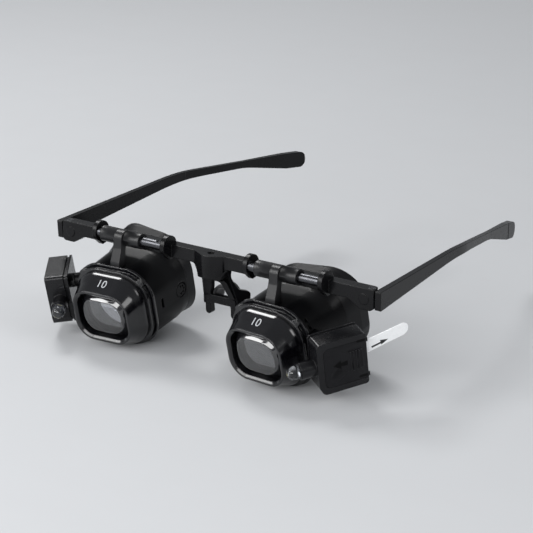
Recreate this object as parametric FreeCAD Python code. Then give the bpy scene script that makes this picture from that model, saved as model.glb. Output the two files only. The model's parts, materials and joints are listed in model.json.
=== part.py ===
import FreeCAD, Part
import math
import os

# Spectacle-type binocular magnifier with two small lamps.
# Millimetres. +Z is up, +Y runs rearwards to the wearer's ears, +X is the wearer's left.
# The origin is the centre of the round hole in the top face of the brow bar.
# Every paired piece is built for the left side (+X) and mirrored for the right side.
# Both loupes rest a little off the middle of their rods, so they are slid after the mirror.

V = FreeCAD.Vector
os.makedirs("parts", exist_ok=True)

# Fits and cuts
overrun = 1.0                # how far a cutting body runs past the face it opens
running_gap = 0.05           # radial gap between a shaft and the bore it turns or slides in
sliding_gap = 0.15           # gap on each side of a part that slides in a guide
moving_gap = 0.3             # gap between pieces that move past each other
edge_round = 0.5             # rounding of moulded outside edges

# Brow bar
bar_height = 4.7
bar_front = -0.7             # front face, measured from the hole's middle
bar_back = 3.5
bar_recess = 0.95            # the front face lies this much deeper behind a sleeve
bar_end_x = 67.8             # outer end of the bar, half of its length
bulge_front = -3.9           # front of the swelling around the hole
bulge_flat_half = 1.2
bulge_root_half = 6.8
bulge_round = 4.0
top_hole_radius = 1.3
top_hole_depth = 3.0
lug_inner_x = 18.0           # middle of the lug beside the nose
lug_outer_x = 49.0           # middle of the lug beside the hinge
lug_y = -1.35
lug_z = -0.4
lug_radius = 3.85
lug_thick = 1.8
lug_foot_drop = 0.8          # the wedge under a lug reaches this far below the bar
lug_wedge_angle = 37.0       # degrees below the lug's middle where its wedge starts
lobe_drop = 7.6              # depth of the hinge lobe below the top face
lobe_inner_x = 62.3
lobe_run_x = 57.5            # where the underside starts to fall to the lobe
lobe_round = 1.8

# Nose bridge: half widths in the front view, front face in the side view
bridge_half_width = 9.5
plate_root_half = 6.9
plate_root_round = 2.2
plate_waist_half = 4.3
plate_waist_drop = 8.4
plate_crease_drop = 8.4      # the plate stands upright down to here
plate_foot_front = 2.2       # front face at the foot of the plate
plate_foot_drop = 10.4
arch_half = 2.0
arch_drop = 11.2
arch_round = 1.8
strap_top_drop = 17.9
strap_bottom_drop = 20.9
knee_drop = 18.0             # level where the legs turn upright
knee_inner = 4.5
knee_outer = 6.6
knee_front = 5.0
foot_inner = 4.3
foot_outer = 6.7
foot_front = 5.6
foot_drop = 25.5
leg_thick = 2.4
leg_round = 3.0
wing_root_x = 5.9            # where a wing's outer face starts
wing_root_y = 1.6
wing_splay = 23.0            # degrees that a wing opens from straight back
wing_thick = 1.8
wing_lead = 0.9              # how far the wing starts ahead of its root under the bar
wing_top_reach = 2.2
wing_waist_reach = 1.3
wing_waist_drop = 8.6
wing_bend_reach = 4.4
wing_bend_drop = 13.9
wing_bend_round = 4.0
wing_end_reach = 9.6
wing_end_drop = 15.6
wing_heel_reach = 9.2
wing_heel_drop = 21.0
wing_foot_drop = 23.0
wing_knee_reach = 3.9
wing_corner = 1.6
saddle_half = 4.4
saddle_top_drop = 13.9
saddle_bottom_drop = 20.4
saddle_front = 6.0
saddle_back = 12.5
saddle_wall = 1.5

# Rods and sleeves
rod_y = -3.0
rod_z = -0.3
rod_radius = 1.75
rod_end_gap = 0.2
lug_floor = 0.6              # web that closes the end of a rod's seat
rod_flat_depth = 0.35        # flat filed on the rod beside the nose
rod_flat_length = 2.6
sleeve_radius = 2.9
sleeve_length = 17.5
sleeve_x = 34.0              # middle of the sleeve when both sides stand alike
rest_slide = -3.0            # both loupes rest this far towards the wearer's right

# Hinges and temples
hinge_x = 65.8
hinge_y = 1.4
screw_radius = 0.8
screw_head_radius = 1.35
screw_head_depth = 0.9
screw_slot_width = 0.4
leaf_top = 1.7               # thickness of the hinge leaf above the tongue
tongue_height = 3.4
tongue_radius = 1.6
tongue_arm_width = 2.4
hinge_boss_radius = 1.9
hinge_boss_proud = 0.25
temple_thick = 2.3
temple_front_height = 6.8
temple_front_top = 0.4       # the temple's top edge at the hinge, below the bar's top face
temple_lip = 1.8             # how far the temple's front end reaches ahead of the hinge axis
temple_arm_length = 66.1     # hinge axis to the seam
temple_bend_share = 0.953    # place of the arm's bend between hinge and seam
temple_bend_height = 3.15
temple_bend_rise = 1.15      # the middle line at the bend lies this far above the hinge's
temple_bend_radius = 150.0
temple_seam_height = 3.0
temple_seam_rise = 0.55
temple_seam_thick = 2.0
temple_length = 129.4        # hinge axis to the end of the ear paddle
temple_neck_share = 0.488    # place of the thinnest section between seam and tip
temple_neck_height = 2.7
temple_neck_drop = 3.25
temple_neck_thick = 1.9
paddle_start_drop = 7.9
paddle_length = 10.4         # straight length of the paddle before its end
paddle_height = 6.4
paddle_drop = 9.7
paddle_thick = 2.9
temple_toe = 5.2             # degrees that the front half leans inwards
temple_rear_toe = 12.0       # degrees that the rear half leans inwards
temple_pitch = -1.0          # degrees that both arms fall towards the ears
hinge_play = 5.4             # degrees by which the two arms sit apart in height
tip_tongue_length = 6.0
tip_tongue_share = 0.5       # height and thickness of the tongue as a share of the arm
crease_from_end = 8.6
crease_depth = 0.35
crease_width = 0.7

# Loupe: its own axis runs rearwards from the middle of the hood's front rim
loupe_x = 33.65
loupe_y = -17.3
loupe_z = -27.0
loupe_toe = 4.0
loupe_pitch = 12.5
hood_front_width = 23.9
hood_front_height = 20.2
hood_front_corner = 7.2
hood_rear_width = 29.2
hood_rear_height = 27.4
hood_rear_corner = 9.8
hood_length = 8.6
hood_kink_share = 0.56       # place of the kink between front rim and shoulder
hood_kink_depth = 0.4        # the kink lies this much inside the straight taper, over both sides
hood_shoulder_length = 1.1   # flatter band beside the collar
hood_shoulder_step = 0.35    # its rise, over both sides
hood_rim_width = 1.5
hood_rim_depth = 3.2         # from the front rim back to the glass seat
hood_tenon_width = 27.0
hood_tenon_height = 25.4
hood_tenon_corner = 9.0
hood_wall = 1.3
collar_width = 32.8
collar_height = 31.0
collar_corner = 11.2
collar_ridge_step = 1.6      # the front ridge is this much smaller than the rear one
collar_ridge_thick = 0.95
collar_groove = 1.25
collar_groove_depth = 1.5
collar_bump = 1.6
housing_width = 31.0
housing_height = 29.4
housing_corner = 11.0
housing_wall = 1.5
waist_along = 15.4           # from the housing's front edge to its waist under the bar
waist_width = 33.2
waist_top = 13.3
waist_bottom = 15.8
waist_corner = 11.4
flare_along = 4.2            # from the waist to the edge that carries the eyecup
flare_width = 34.0
flare_top = 14.9
flare_bottom = 16.0
flare_corner = 12.6
eyecup_along = 6.4           # eyecup length on the axis
eyecup_width = 35.8
eyecup_height = 33.6
eyecup_corner = 12.6
eyecup_wall = 1.7
eyecup_outer_reach = 4.3     # the rim runs further back on the temple side
eyecup_inner_cut = 5.2       # and is cut back beside the nose
spigot_length = 2.0
web_thick = 1.4
web_along = 4.6              # from the housing's front edge to the web that holds the eye lens
eye_lens_radius = 11.8
eye_lens_thick = 5.0
eye_lens_curve = 32.0
front_lens_thick = 4.6
front_lens_curve = 60.0
front_lens_share = 0.5       # share of the front face's sag that stands ahead of the seat
rear_face_curve = 45.0
lens_edge_gap = 0.05
window_width = 1.2
window_height = 3.8
window_inner_along = 4.8     # from the housing's front edge to the slot on the nose side
window_outer_along = 2.4
window_outer_rise = 9.1
vent_radius = 0.45
vent_ring_radius = 2.5
vent_groove = 0.5
vent_count = 5
vent_first_angle = -100
vent_step_angle = 50
vent_reach_share = 0.6
hanger_width = 3.5
hanger_foot_width = 4.3
hanger_thick = 1.9
strap_shift = 0.5            # both straps stand this much towards the wearer's left of their sleeves

# Lamp: its own axis runs rearwards through the middle of the lamp box
lamp_stand_off = 11.55       # from the housing's side to the lamp's middle line
lamp_y = -6.6
lamp_z = -24.8
lamp_toe = 34.2
lamp_pitch = 8.5
lamp_roll = 7.5              # degrees that the lamp's top leans outwards
lamp_length = 18.0
lamp_height = 19.8
lamp_thick = 8.6
lamp_round = 1.2
lamp_wall = 1.2
lid_thick = 1.7
lid_step = 0.9
chamfer_length = 1.4
chamfer_height = 3.2
chamfer_round = 2.2
tube_radius = 3.1
tube_length = 5.3
tube_drop = 0.4              # the tube's axis runs this far below the middle of the box
led_radius = 2.35
led_flange_radius = 2.7
led_flange_thick = 1.0
led_proud = 4.5
led_ring_thick = 0.5
led_ring_length = 1.2
cover_thick = 1.2
cover_margin = 2.4
cover_front = 2.3            # from the case's front face to the cover's front edge
cover_round = 2.0
cover_rail = 0.6
cover_travel = 14.0
ridge_count = 4
ridge_pitch = 1.5
ridge_height = 6.4
ridge_width = 0.6
ridge_proud = 0.35
arrow_place_share = 0.27
arrow_shaft_share = 0.33
latch_size = 1.4
cell_radius = 5.8
cell_thick = 2.1
cell_count = 2
cell_gap = 0.08
cell_can_share = 0.88
cell_cap_share = 0.8
contact_thick = 0.3
contact_width = 4.0
contact_reach = 5.2
tab_width = 5.2
tab_thick = 0.35
tab_reach = 16.5             # length of the pull tab outside the case
tab_inside = 6.0
tab_rise = 3.4               # middle of the tab above the middle of the case
switch_length = 3.2
switch_width = 2.4
switch_proud = 0.9
switch_travel = 2.0
pivot_radius = 1.3
pivot_boss_radius = 2.6
pivot_boss_length = 1.6
pivot_along = -2.5           # pivot axis ahead of the middle of the case
pivot_rise = 4.8
arm_eye_length = 3.0
arm_radius = 2.0
arm_root_along = 3.5         # from the housing's front edge to the arm's root
arm_root_rise = 5.0

# Local frames
WAY = {"x": V(1, 0, 0), "y": V(0, 1, 0), "z": V(0, 0, 1)}
TURN = {
    "x": FreeCAD.Rotation(V(1, 1, 1), 120),
    "y": FreeCAD.Rotation(V(1, 0, 0), 90),
    "z": FreeCAD.Rotation(),
}


def aimed(x, y, z, toe, pitch, roll):
    """Frame whose +Y leans outwards by toe and upwards by pitch, and whose top leans out by roll."""
    turn = FreeCAD.Rotation(WAY["z"], -toe)
    turn = turn.multiply(FreeCAD.Rotation(WAY["x"], pitch))
    turn = turn.multiply(FreeCAD.Rotation(WAY["y"], roll))
    return FreeCAD.Placement(V(x, y, z), turn)


LOUPE = aimed(loupe_x, loupe_y, loupe_z, loupe_toe, loupe_pitch, 0)
lamp_x = loupe_x + housing_width / 2 + lamp_stand_off
LAMP = aimed(lamp_x, lamp_y, lamp_z, lamp_toe, lamp_pitch, lamp_roll)


# Shape helpers
def corner_points(corners):
    """Start, middle and end of the rounding at each corner (x, y, radius)."""
    marks = []
    count = len(corners)
    for index, (x, y, radius) in enumerate(corners):
        here = V(x, y, 0)
        last = corners[index - 1]
        following = corners[(index + 1) % count]
        before = V(last[0], last[1], 0).sub(here).normalize()
        after = V(following[0], following[1], 0).sub(here).normalize()
        half = before.getAngle(after) / 2
        reach = radius / math.tan(half)
        bisector = before.add(after)
        if bisector.Length:
            bisector.normalize()
        depth = radius / math.sin(half) - radius
        marks.append((here + before * reach, here + bisector * depth, here + after * reach))
    return marks


def rounded_wire(corners):
    """Closed flat wire in the XY plane with an arc at each rounded corner."""
    marks = corner_points(corners)
    edges = []
    for index, (start, middle, end) in enumerate(marks):
        if corners[index][2]:
            edges.append(Part.Arc(start, middle, end).toShape())
        following = marks[(index + 1) % len(marks)][0]
        if end.distanceToPoint(following) > Part.Precision.confusion():
            edges.append(Part.LineSegment(end, following).toShape())
    return Part.Wire(edges)


def slab(corners, start, end, axis):
    """Flat outline pushed along an axis. Its two coordinates are the other axes in X, Y, Z order,
    but Y then Z for the X axis."""
    face = Part.Face(rounded_wire(corners))
    face.Placement = FreeCAD.Placement(WAY[axis] * start, TURN[axis])
    return face.extrude(WAY[axis] * (end - start))


def block(x_range, y_range, z_range):
    """Box between pairs of limits."""
    sides = [abs(limits[1] - limits[0]) for limits in (x_range, y_range, z_range)]
    low = V(min(x_range), min(y_range), min(z_range))
    return Part.makeBox(sides[0], sides[1], sides[2], low)


def bar_between(start, end, radius):
    """Round bar from one point to another."""
    way = end.sub(start)
    return Part.makeCylinder(radius, way.Length, start, way)


def around(middle, half):
    """Limits that lie evenly on both sides of a middle."""
    return (middle - half, middle + half)


def ring_outline(width, height, corner, rise=0.0):
    """Corners of an upright rounded rectangle."""
    w = width / 2
    h = height / 2
    return [(-w, rise - h, corner), (w, rise - h, corner), (w, rise + h, corner), (-w, rise + h, corner)]


def station(along, width, height, corner, rise=0.0):
    """Upright rounded rectangle at a distance along the local Y axis."""
    wire = rounded_wire(ring_outline(width, height, corner, rise))
    wire.Placement = FreeCAD.Placement(V(0, along, 0), TURN["y"])
    return wire


def hull(stations):
    """Solid through upright rounded rectangles."""
    return Part.makeLoft([station(*values) for values in stations], True, True)


def placed(shape, frame):
    """Copy of a local shape put into the part's frame."""
    copy = shape.copy()
    copy.Placement = frame.multiply(copy.Placement)
    return copy


def mirrored(shape):
    """The right-hand twin of a left-hand shape."""
    return shape.mirror(V(0, 0, 0), WAY["x"])


def fused(shapes):
    """One clean body from touching shapes."""
    whole = shapes[0]
    if len(shapes) > 1:
        whole = whole.fuse(shapes[1:])
    return whole.removeSplitter()


# Brow bar
def both_sides(half):
    """Outline from its right-hand half and the mirror of it."""
    other = [(-x, y, radius) for x, y, radius in reversed(half)]
    return half + other


def bar_plan():
    """The bar seen from above: a smooth swelling in the middle and a recess behind each sleeve."""
    recessed = bar_front + bar_recess
    return both_sides([
        (bulge_flat_half, bulge_front, bulge_round),
        (bulge_root_half, bar_front, bulge_round),
        (lug_inner_x, bar_front, 0),
        (lug_inner_x, recessed, 0),
        (lug_outer_x, recessed, 0),
        (lug_outer_x, bar_front, 0),
        (bar_end_x, bar_front, edge_round),
        (bar_end_x, bar_back, 0),
    ])


def bar_elevation():
    """The bar seen from the front, with its hinge lobes."""
    return both_sides([
        (bar_end_x, 0, edge_round),
        (bar_end_x, -lobe_drop, lobe_round),
        (lobe_inner_x, -lobe_drop, lobe_round),
        (lobe_run_x, -bar_height, lobe_round),
    ])


def bridge_elevation():
    """Plate, legs and cross strap seen from the front."""
    foot_round = (foot_outer - foot_inner) / 2 - running_gap
    return both_sides([
        (bridge_half_width, 0, 0),
        (bridge_half_width, -bar_height, 0),
        (plate_root_half, -bar_height, plate_root_round),
        (plate_waist_half, -plate_waist_drop, leg_round),
        (knee_outer, -knee_drop, leg_round),
        (foot_outer, -foot_drop, foot_round),
        (foot_inner, -foot_drop, foot_round),
        (knee_inner, -strap_bottom_drop, edge_round),
    ])


def arch_window():
    """Opening between the arch of the plate and the cross strap."""
    return both_sides([
        (arch_half, -arch_drop, arch_round),
        (knee_inner - edge_round / 2, -strap_top_drop, edge_round),
    ])


def bridge_profile():
    """Plate and legs seen from the side: an upright plate, a step back and steep legs."""
    return [
        (bulge_front, 0, 0),
        (bulge_front, -plate_crease_drop, edge_round),
        (plate_foot_front, -plate_foot_drop, leg_round),
        (knee_front, -knee_drop, leg_round),
        (foot_front, -foot_drop - overrun, 0),
        (foot_front + leg_thick, -foot_drop - overrun, 0),
        (knee_front + leg_thick, -knee_drop, leg_round),
        (plate_foot_front + leg_thick, -plate_foot_drop, leg_round),
        (bar_back, -bar_height, 0),
        (bar_back, 0, 0),
    ]


def bridge():
    """Plate, arch, legs and cross strap as one leaning sheet with a rounded swelling in front."""
    front = slab(bridge_elevation(), bulge_front - overrun, saddle_back, "y")
    opening = slab(arch_window(), bulge_front - overrun, saddle_back + overrun, "y")
    profile = slab(bridge_profile(), -bridge_half_width, bridge_half_width, "x")
    plan = slab(both_sides([
        (bulge_flat_half, bulge_front, bulge_round),
        (bulge_root_half, bar_front, bulge_round),
        (bridge_half_width + overrun, bar_front, 0),
        (bridge_half_width + overrun, saddle_back, 0),
    ]), -foot_drop - overrun, 0, "z")
    return profile.common(front).common(plan).cut(opening)


def lug(middle_x):
    """Round lug that carries a rod end, tied to the bar by a wedge."""
    span = around(middle_x, lug_thick / 2)
    disc = Part.makeCylinder(lug_radius, lug_thick, V(span[0], lug_y, lug_z), WAY["x"])
    angle = math.radians(lug_wedge_angle)
    wedge = slab([(lug_y - lug_radius * math.cos(angle), lug_z - lug_radius * math.sin(angle), 0),
                  (lug_y, lug_z, 0),
                  (bar_back, lug_z, 0),
                  (bar_back, -bar_height, 0),
                  (lug_y, -bar_height - lug_foot_drop, edge_round)], span[0], span[1], "x")
    return [disc, wedge]


def rod_seats():
    """Blind bores for the two rod ends, in the left pair of lugs."""
    start = lug_inner_x - lug_thick / 2 + lug_floor
    end = lug_outer_x + lug_thick / 2 - lug_floor
    return bar_between(V(start, rod_y, rod_z), V(end, rod_y, rod_z), rod_radius + running_gap)


def hinge_cut():
    """Slot between the two hinge leaves."""
    top = -leaf_top
    bottom = -leaf_top - tongue_height - 2 * sliding_gap
    pocket = Part.makeCylinder(tongue_radius + sliding_gap, top - bottom, V(hinge_x, hinge_y, bottom))
    mouth = block((hinge_x, bar_end_x + overrun),
                  (hinge_y - tongue_arm_width / 2 - sliding_gap, bar_back + overrun),
                  (bottom, top))
    rear = block((hinge_x - tongue_radius - sliding_gap, bar_end_x + overrun),
                 (hinge_y, bar_back + overrun), (bottom, top))
    return [pocket, mouth, rear]


def hinge_screw():
    """Vertical screw: shank through both leaves with a head sunk into the upper one."""
    shank = Part.makeCylinder(screw_radius, lobe_drop - screw_head_depth / 2, V(hinge_x, hinge_y, 0),
                              -WAY["z"])
    head = Part.makeCylinder(screw_head_radius, screw_head_depth, V(hinge_x, hinge_y, 0), -WAY["z"])
    return shank.fuse(head)


def slotted_screw():
    """The hinge screw with its driver slot."""
    slot = block(around(hinge_x, screw_head_radius + overrun), around(hinge_y, screw_slot_width / 2),
                 (-screw_head_depth / 2, overrun))
    return hinge_screw().cut(slot)


def knuckle_round():
    """What is cut off the bar's outer rear corner so that the leaf ends round."""
    radius = bar_end_x - hinge_x
    corner = block((hinge_x, bar_end_x + overrun), (hinge_y, bar_back + overrun),
                   (-lobe_drop - overrun, overrun))
    keep = Part.makeCylinder(radius, lobe_drop + 2 * overrun, V(hinge_x, hinge_y, -lobe_drop - overrun))
    return corner.cut(keep)


def wing():
    """Left wing: an upright plate that splays back from the leg, with a hollow top edge."""
    outline = [
        (-wing_lead, -bar_height + overrun, 0),
        (wing_top_reach, -bar_height + overrun, 0),
        (wing_waist_reach, -wing_waist_drop, wing_bend_round),
        (wing_bend_reach, -wing_bend_drop, wing_bend_round),
        (wing_end_reach, -wing_end_drop, wing_corner),
        (wing_heel_reach, -wing_heel_drop, wing_corner),
        (wing_bend_reach, -wing_foot_drop, wing_corner),
        (wing_knee_reach, -knee_drop, 0),
    ]
    plate = slab(outline, -wing_thick, 0, "x")
    plate.rotate(V(0, 0, 0), WAY["z"], -wing_splay)
    plate.translate(V(wing_root_x, wing_root_y, 0))
    return plate


def hinge_boss():
    """Shallow round boss on the front of the hinge lobe."""
    start = V(hinge_x - hinge_boss_radius, bar_back - overrun, -lobe_drop / 2)
    return bar_between(start, V(start.x, bar_front - hinge_boss_proud, start.z), hinge_boss_radius)


def brow_bar():
    """Bar, bridge plate, lugs, hinge leaves, legs and wings as one moulding."""
    bar = slab(bar_plan(), -lobe_drop, 0, "z").common(slab(bar_elevation(), bulge_front, bar_back, "y"))
    pieces = [bridge()]
    for solid in lug(lug_inner_x) + lug(lug_outer_x) + [wing(), hinge_boss()]:
        pieces.append(solid)
        pieces.append(mirrored(solid))
    whole = fused([bar] + pieces)
    cuts = [Part.makeCylinder(top_hole_radius, top_hole_depth + overrun, V(0, 0, overrun), -WAY["z"])]
    for cut in [rod_seats(), knuckle_round(), hinge_screw()] + hinge_cut():
        cuts.append(cut)
        cuts.append(mirrored(cut))
    return whole.cut(cuts).removeSplitter()


def nose_saddle():
    """Soft arched pad that sits behind the cross strap, between the wings."""
    outer = both_sides([
        (saddle_half, -saddle_bottom_drop, edge_round),
        (saddle_half, -saddle_top_drop, saddle_half - edge_round),
    ])
    inset = saddle_half - saddle_wall
    inner = both_sides([
        (inset, -saddle_bottom_drop - overrun, 0),
        (inset, -saddle_top_drop - saddle_wall, inset - edge_round),
    ])
    pad = slab(outer, saddle_front, saddle_back, "y")
    hollow = slab(inner, saddle_front - overrun, saddle_back + overrun, "y")
    return pad.cut(hollow).cut(bridge())


# Temples
def temple_side(points):
    """Side outline from (along, middle height, height) rows: along the top, back along the bottom."""
    top = [(along, middle + height / 2, radius) for along, middle, height, radius in points]
    bottom = [(along, middle - height / 2, radius) for along, middle, height, radius in reversed(points)]
    return top + bottom


def temple_plan(points):
    """Plan outline from (along, offset, thickness) rows."""
    outer = [(offset + thick / 2, along, radius) for along, offset, thick, radius in points]
    inner = [(offset - thick / 2, along, radius) for along, offset, thick, radius in reversed(points)]
    return inner + outer


def temple_offset(along):
    """How far the temple's middle line lies inwards of its start."""
    front = min(along, temple_arm_length)
    rear = max(along - temple_arm_length, 0)
    inwards = front * math.tan(math.radians(temple_toe)) + rear * math.tan(math.radians(temple_rear_toe))
    return -inwards


def plate_offset():
    """Middle of the temple plate, outwards of the hinge axis."""
    return bar_end_x - hinge_x + sliding_gap + temple_thick / 2


def temple_middle():
    """Height of the temple's middle line at the hinge."""
    return -temple_front_top - temple_front_height / 2


def temple_blade():
    """The whole arm from its front lip to the end of the paddle, in the hinge's own frame."""
    start = temple_middle()
    neck = temple_arm_length + temple_neck_share * (temple_length - temple_arm_length)
    paddle_start = temple_length - paddle_length
    bend = temple_bend_share * temple_arm_length
    side = temple_side([
        (-temple_lip, start, temple_front_height, edge_round),
        (bend, start + temple_bend_rise, temple_bend_height, temple_bend_radius),
        (neck, start - temple_neck_drop, temple_neck_height, neck / 2),
        (paddle_start, start - paddle_start_drop, paddle_height, paddle_length),
        (temple_length, start - paddle_drop, paddle_height, paddle_height / 2 - edge_round),
    ])
    plan = temple_plan([
        (-temple_lip, plate_offset() + temple_offset(-temple_lip), temple_thick, 0),
        (temple_arm_length, plate_offset() + temple_offset(temple_arm_length), temple_seam_thick,
         temple_arm_length),
        (neck, plate_offset() + temple_offset(neck), temple_neck_thick, temple_arm_length),
        (temple_length, plate_offset() + temple_offset(temple_length), paddle_thick, 0),
    ])
    reach = temple_length
    tall = slab(side, -reach, reach, "x")
    flat = slab(plan, -reach, reach, "z")
    return tall.common(flat)


def seam_cut(gap):
    """Everything behind the seam, in the hinge's own frame."""
    reach = temple_length
    return block((-reach, reach), (temple_arm_length + gap, 2 * reach), (-reach, reach))


def seam_tongue(gap):
    """Tongue of the ear piece that is pushed into the arm's rear end."""
    middle = temple_middle() + temple_seam_rise
    half_height = temple_seam_height * tip_tongue_share / 2 + gap
    half_thick = temple_seam_thick * tip_tongue_share / 2 + gap
    across = plate_offset() + temple_offset(temple_arm_length)
    tongue = block(around(0, half_thick), (-tip_tongue_length - gap, overrun), around(0, half_height))
    tongue.rotate(V(0, 0, 0), WAY["z"], temple_toe)
    tongue.translate(V(across, temple_arm_length, middle))
    return tongue


def crease():
    """Shallow groove across the outer face of the paddle."""
    along = temple_length - crease_from_end
    across = plate_offset() + temple_offset(along)
    reach = paddle_height + paddle_drop
    return block((across + paddle_thick / 2 - crease_depth, across + paddle_thick), around(along, crease_width / 2),
                 around(temple_middle() - paddle_drop, reach))


def tilted(shape, pitch):
    """Tip an arm about the level of the hinge and carry it to the hinge."""
    arm = shape.copy()
    arm.rotate(V(0, 0, temple_middle()), WAY["x"], -pitch)
    arm.translate(V(hinge_x, hinge_y, 0))
    return arm


def hinge_tongue():
    """Eye of the temple that turns on the screw between the two leaves."""
    bottom = -leaf_top - sliding_gap - tongue_height
    eye = Part.makeCylinder(tongue_radius, tongue_height, V(hinge_x, hinge_y, bottom))
    arm = block((hinge_x, hinge_x + plate_offset()), around(hinge_y, tongue_arm_width / 2),
                (bottom, bottom + tongue_height))
    bore = Part.makeCylinder(screw_radius + running_gap, tongue_height + 2 * overrun,
                             V(hinge_x, hinge_y, bottom - overrun))
    return eye.fuse(arm), bore


def temple_arm(pitch):
    """Front half of a temple with its hinge eye."""
    blade = temple_blade().cut(seam_cut(0)).cut(seam_tongue(0))
    eye, bore = hinge_tongue()
    return tilted(blade, pitch).fuse(eye).cut(bore).removeSplitter()


def temple_tip(pitch):
    """Rear half of a temple with its ear paddle and the tongue that joins it to the arm."""
    rear = temple_blade().common(seam_cut(0)).cut(crease())
    return tilted(rear.fuse(seam_tongue(0)).removeSplitter(), pitch)


# Rods
def rod():
    """Steel rod between the two lugs, with a flat beside the nose."""
    start = lug_inner_x - lug_thick / 2 + lug_floor + rod_end_gap
    end = lug_outer_x + lug_thick / 2 - lug_floor - rod_end_gap
    bar = bar_between(V(start, rod_y, rod_z), V(end, rod_y, rod_z), rod_radius)
    flat_start = lug_inner_x + lug_thick / 2
    flat = block((flat_start, flat_start + rod_flat_length), around(rod_y, rod_radius),
                 (rod_z + rod_radius - rod_flat_depth, rod_z + rod_radius + overrun))
    return bar.cut(flat)


# Loupe
collar_length = 2 * collar_ridge_thick + collar_groove
housing_start = hood_length + collar_length
waist_at = housing_start + waist_along
flare_at = waist_at + flare_along
rim_at = flare_at + eyecup_along


def even(along, width, top, bottom, corner, inset=0.0):
    """Station given by how far it reaches above and below the axis, drawn in by a wall."""
    return (along, width - 2 * inset, top + bottom - 2 * inset, corner - inset, (top - bottom) / 2)


def housing_stations(inset=0.0):
    """The housing's outline from its front edge to the edge that carries the eyecup."""
    return [
        (housing_start, housing_width - 2 * inset, housing_height - 2 * inset, housing_corner - inset),
        even(waist_at, waist_width, waist_top, waist_bottom, waist_corner, inset),
        even(flare_at, flare_width, flare_top, flare_bottom, flare_corner, inset),
    ]


def lens_hood():
    """Glossy front hood: a flared shell with a deep rim and a tenon for the collar."""
    front_ring = (hood_front_width, hood_front_height, hood_front_corner)
    rear_ring = (hood_rear_width, hood_rear_height, hood_rear_corner)
    shoulder_ring = tuple(size - hood_shoulder_step for size in rear_ring)
    shoulder = hood_length - hood_shoulder_length
    kink_ring = tuple(near + (far - near) * hood_kink_share - hood_kink_depth
                      for near, far in zip(front_ring, shoulder_ring))
    skin = hull([(0,) + front_ring, (shoulder * hood_kink_share,) + kink_ring,
                 (shoulder,) + shoulder_ring, (hood_length,) + rear_ring])
    tenon = hull([(hood_length, hood_tenon_width, hood_tenon_height, hood_tenon_corner),
                  (housing_start, hood_tenon_width, hood_tenon_height, hood_tenon_corner)])
    front = (hood_front_width - 2 * hood_rim_width, hood_front_height - 2 * hood_rim_width,
             hood_front_corner - hood_rim_width)
    pocket = hull([(-overrun,) + front, (hood_rim_depth + overrun,) + front])
    seat = lens_outline(lens_edge_gap)
    inside = hull([(hood_rim_depth,) + seat,
                   (hood_length, hood_tenon_width - 2 * hood_wall, hood_tenon_height - 2 * hood_wall,
                    hood_tenon_corner - hood_wall),
                   (housing_start + overrun, hood_tenon_width - 2 * hood_wall,
                    hood_tenon_height - 2 * hood_wall, hood_tenon_corner - hood_wall)])
    return skin.fuse(tenon).cut(pocket).cut(inside).removeSplitter()


def lens_outline(gap):
    """Width, height and corner of the front lens, or of its seat with a gap."""
    inset = hood_rim_width / 2 - gap
    return (hood_front_width - 2 * inset, hood_front_height - 2 * inset, hood_front_corner - inset)


def front_lens():
    """Rounded-rectangular glass with a gently curved front and a stronger rear face."""
    width, height, corner = lens_outline(0)
    edge = hood_rim_depth
    corner_reach = math.hypot(width / 2, height / 2) - corner * (math.sqrt(2) - 1)
    front_sag = front_lens_curve - math.sqrt(front_lens_curve ** 2 - corner_reach ** 2)
    vertex = edge - front_sag * front_lens_share
    prism = hull([(vertex - overrun, width, height, corner),
                  (vertex + front_lens_thick + overrun, width, height, corner)])
    front_ball = Part.makeSphere(front_lens_curve, V(0, vertex + front_lens_curve, 0))
    rear_ball = Part.makeSphere(rear_face_curve, V(0, vertex + front_lens_thick - rear_face_curve, 0))
    return prism.common(front_ball).common(rear_ball)


def collar():
    """Ring with two ridges that locks the hood to the housing."""
    base = (collar_width - 2 * collar_groove_depth, collar_height - 2 * collar_groove_depth,
            collar_corner - collar_groove_depth)
    shapes = [hull([(hood_length,) + base, (housing_start,) + base])]
    for start, shrink in ((hood_length, collar_ridge_step), (housing_start - collar_ridge_thick, 0)):
        size = (collar_width - shrink, collar_height - shrink, collar_corner - shrink / 2)
        shapes.append(hull([(start,) + size, (start + collar_ridge_thick,) + size]))
    reach_x = base[0] / 2 - base[2] * (1 - math.cos(math.pi / 4))
    reach_z = base[1] / 2 - base[2] * (1 - math.cos(math.pi / 4))
    for side in (-1, 1):
        shapes.append(bar_between(V(side * reach_x, hood_length + collar_ridge_thick / 2, reach_z),
                                  V(side * reach_x, housing_start - collar_ridge_thick / 2, reach_z),
                                  collar_bump))
    bore = hull([(hood_length - overrun, hood_tenon_width, hood_tenon_height, hood_tenon_corner),
                 (housing_start + overrun, hood_tenon_width, hood_tenon_height, hood_tenon_corner)])
    return fused(shapes).cut(bore)


def vent_cuts(side_x):
    """Crescent groove with small holes on the nose side of the housing."""
    middle_y = waist_at + vent_groove
    middle_z = -vent_groove
    depth = housing_wall + overrun
    outer = Part.makeCylinder(vent_ring_radius + vent_radius, vent_groove + overrun,
                              V(side_x + vent_groove, middle_y, middle_z), -WAY["x"])
    inner = Part.makeCylinder(vent_ring_radius, vent_groove + 2 * overrun,
                              V(side_x + vent_groove + overrun / 2, middle_y - vent_radius / 2, middle_z),
                              -WAY["x"])
    cuts = [outer.cut(inner)]
    for index in range(vent_count):
        angle = math.radians(vent_first_angle + index * vent_step_angle)
        reach = vent_ring_radius * vent_reach_share
        spot = V(side_x - overrun, middle_y + reach * math.cos(angle), middle_z + reach * math.sin(angle))
        cuts.append(Part.makeCylinder(vent_radius, depth + 2 * overrun, spot, WAY["x"]))
    return cuts


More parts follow.
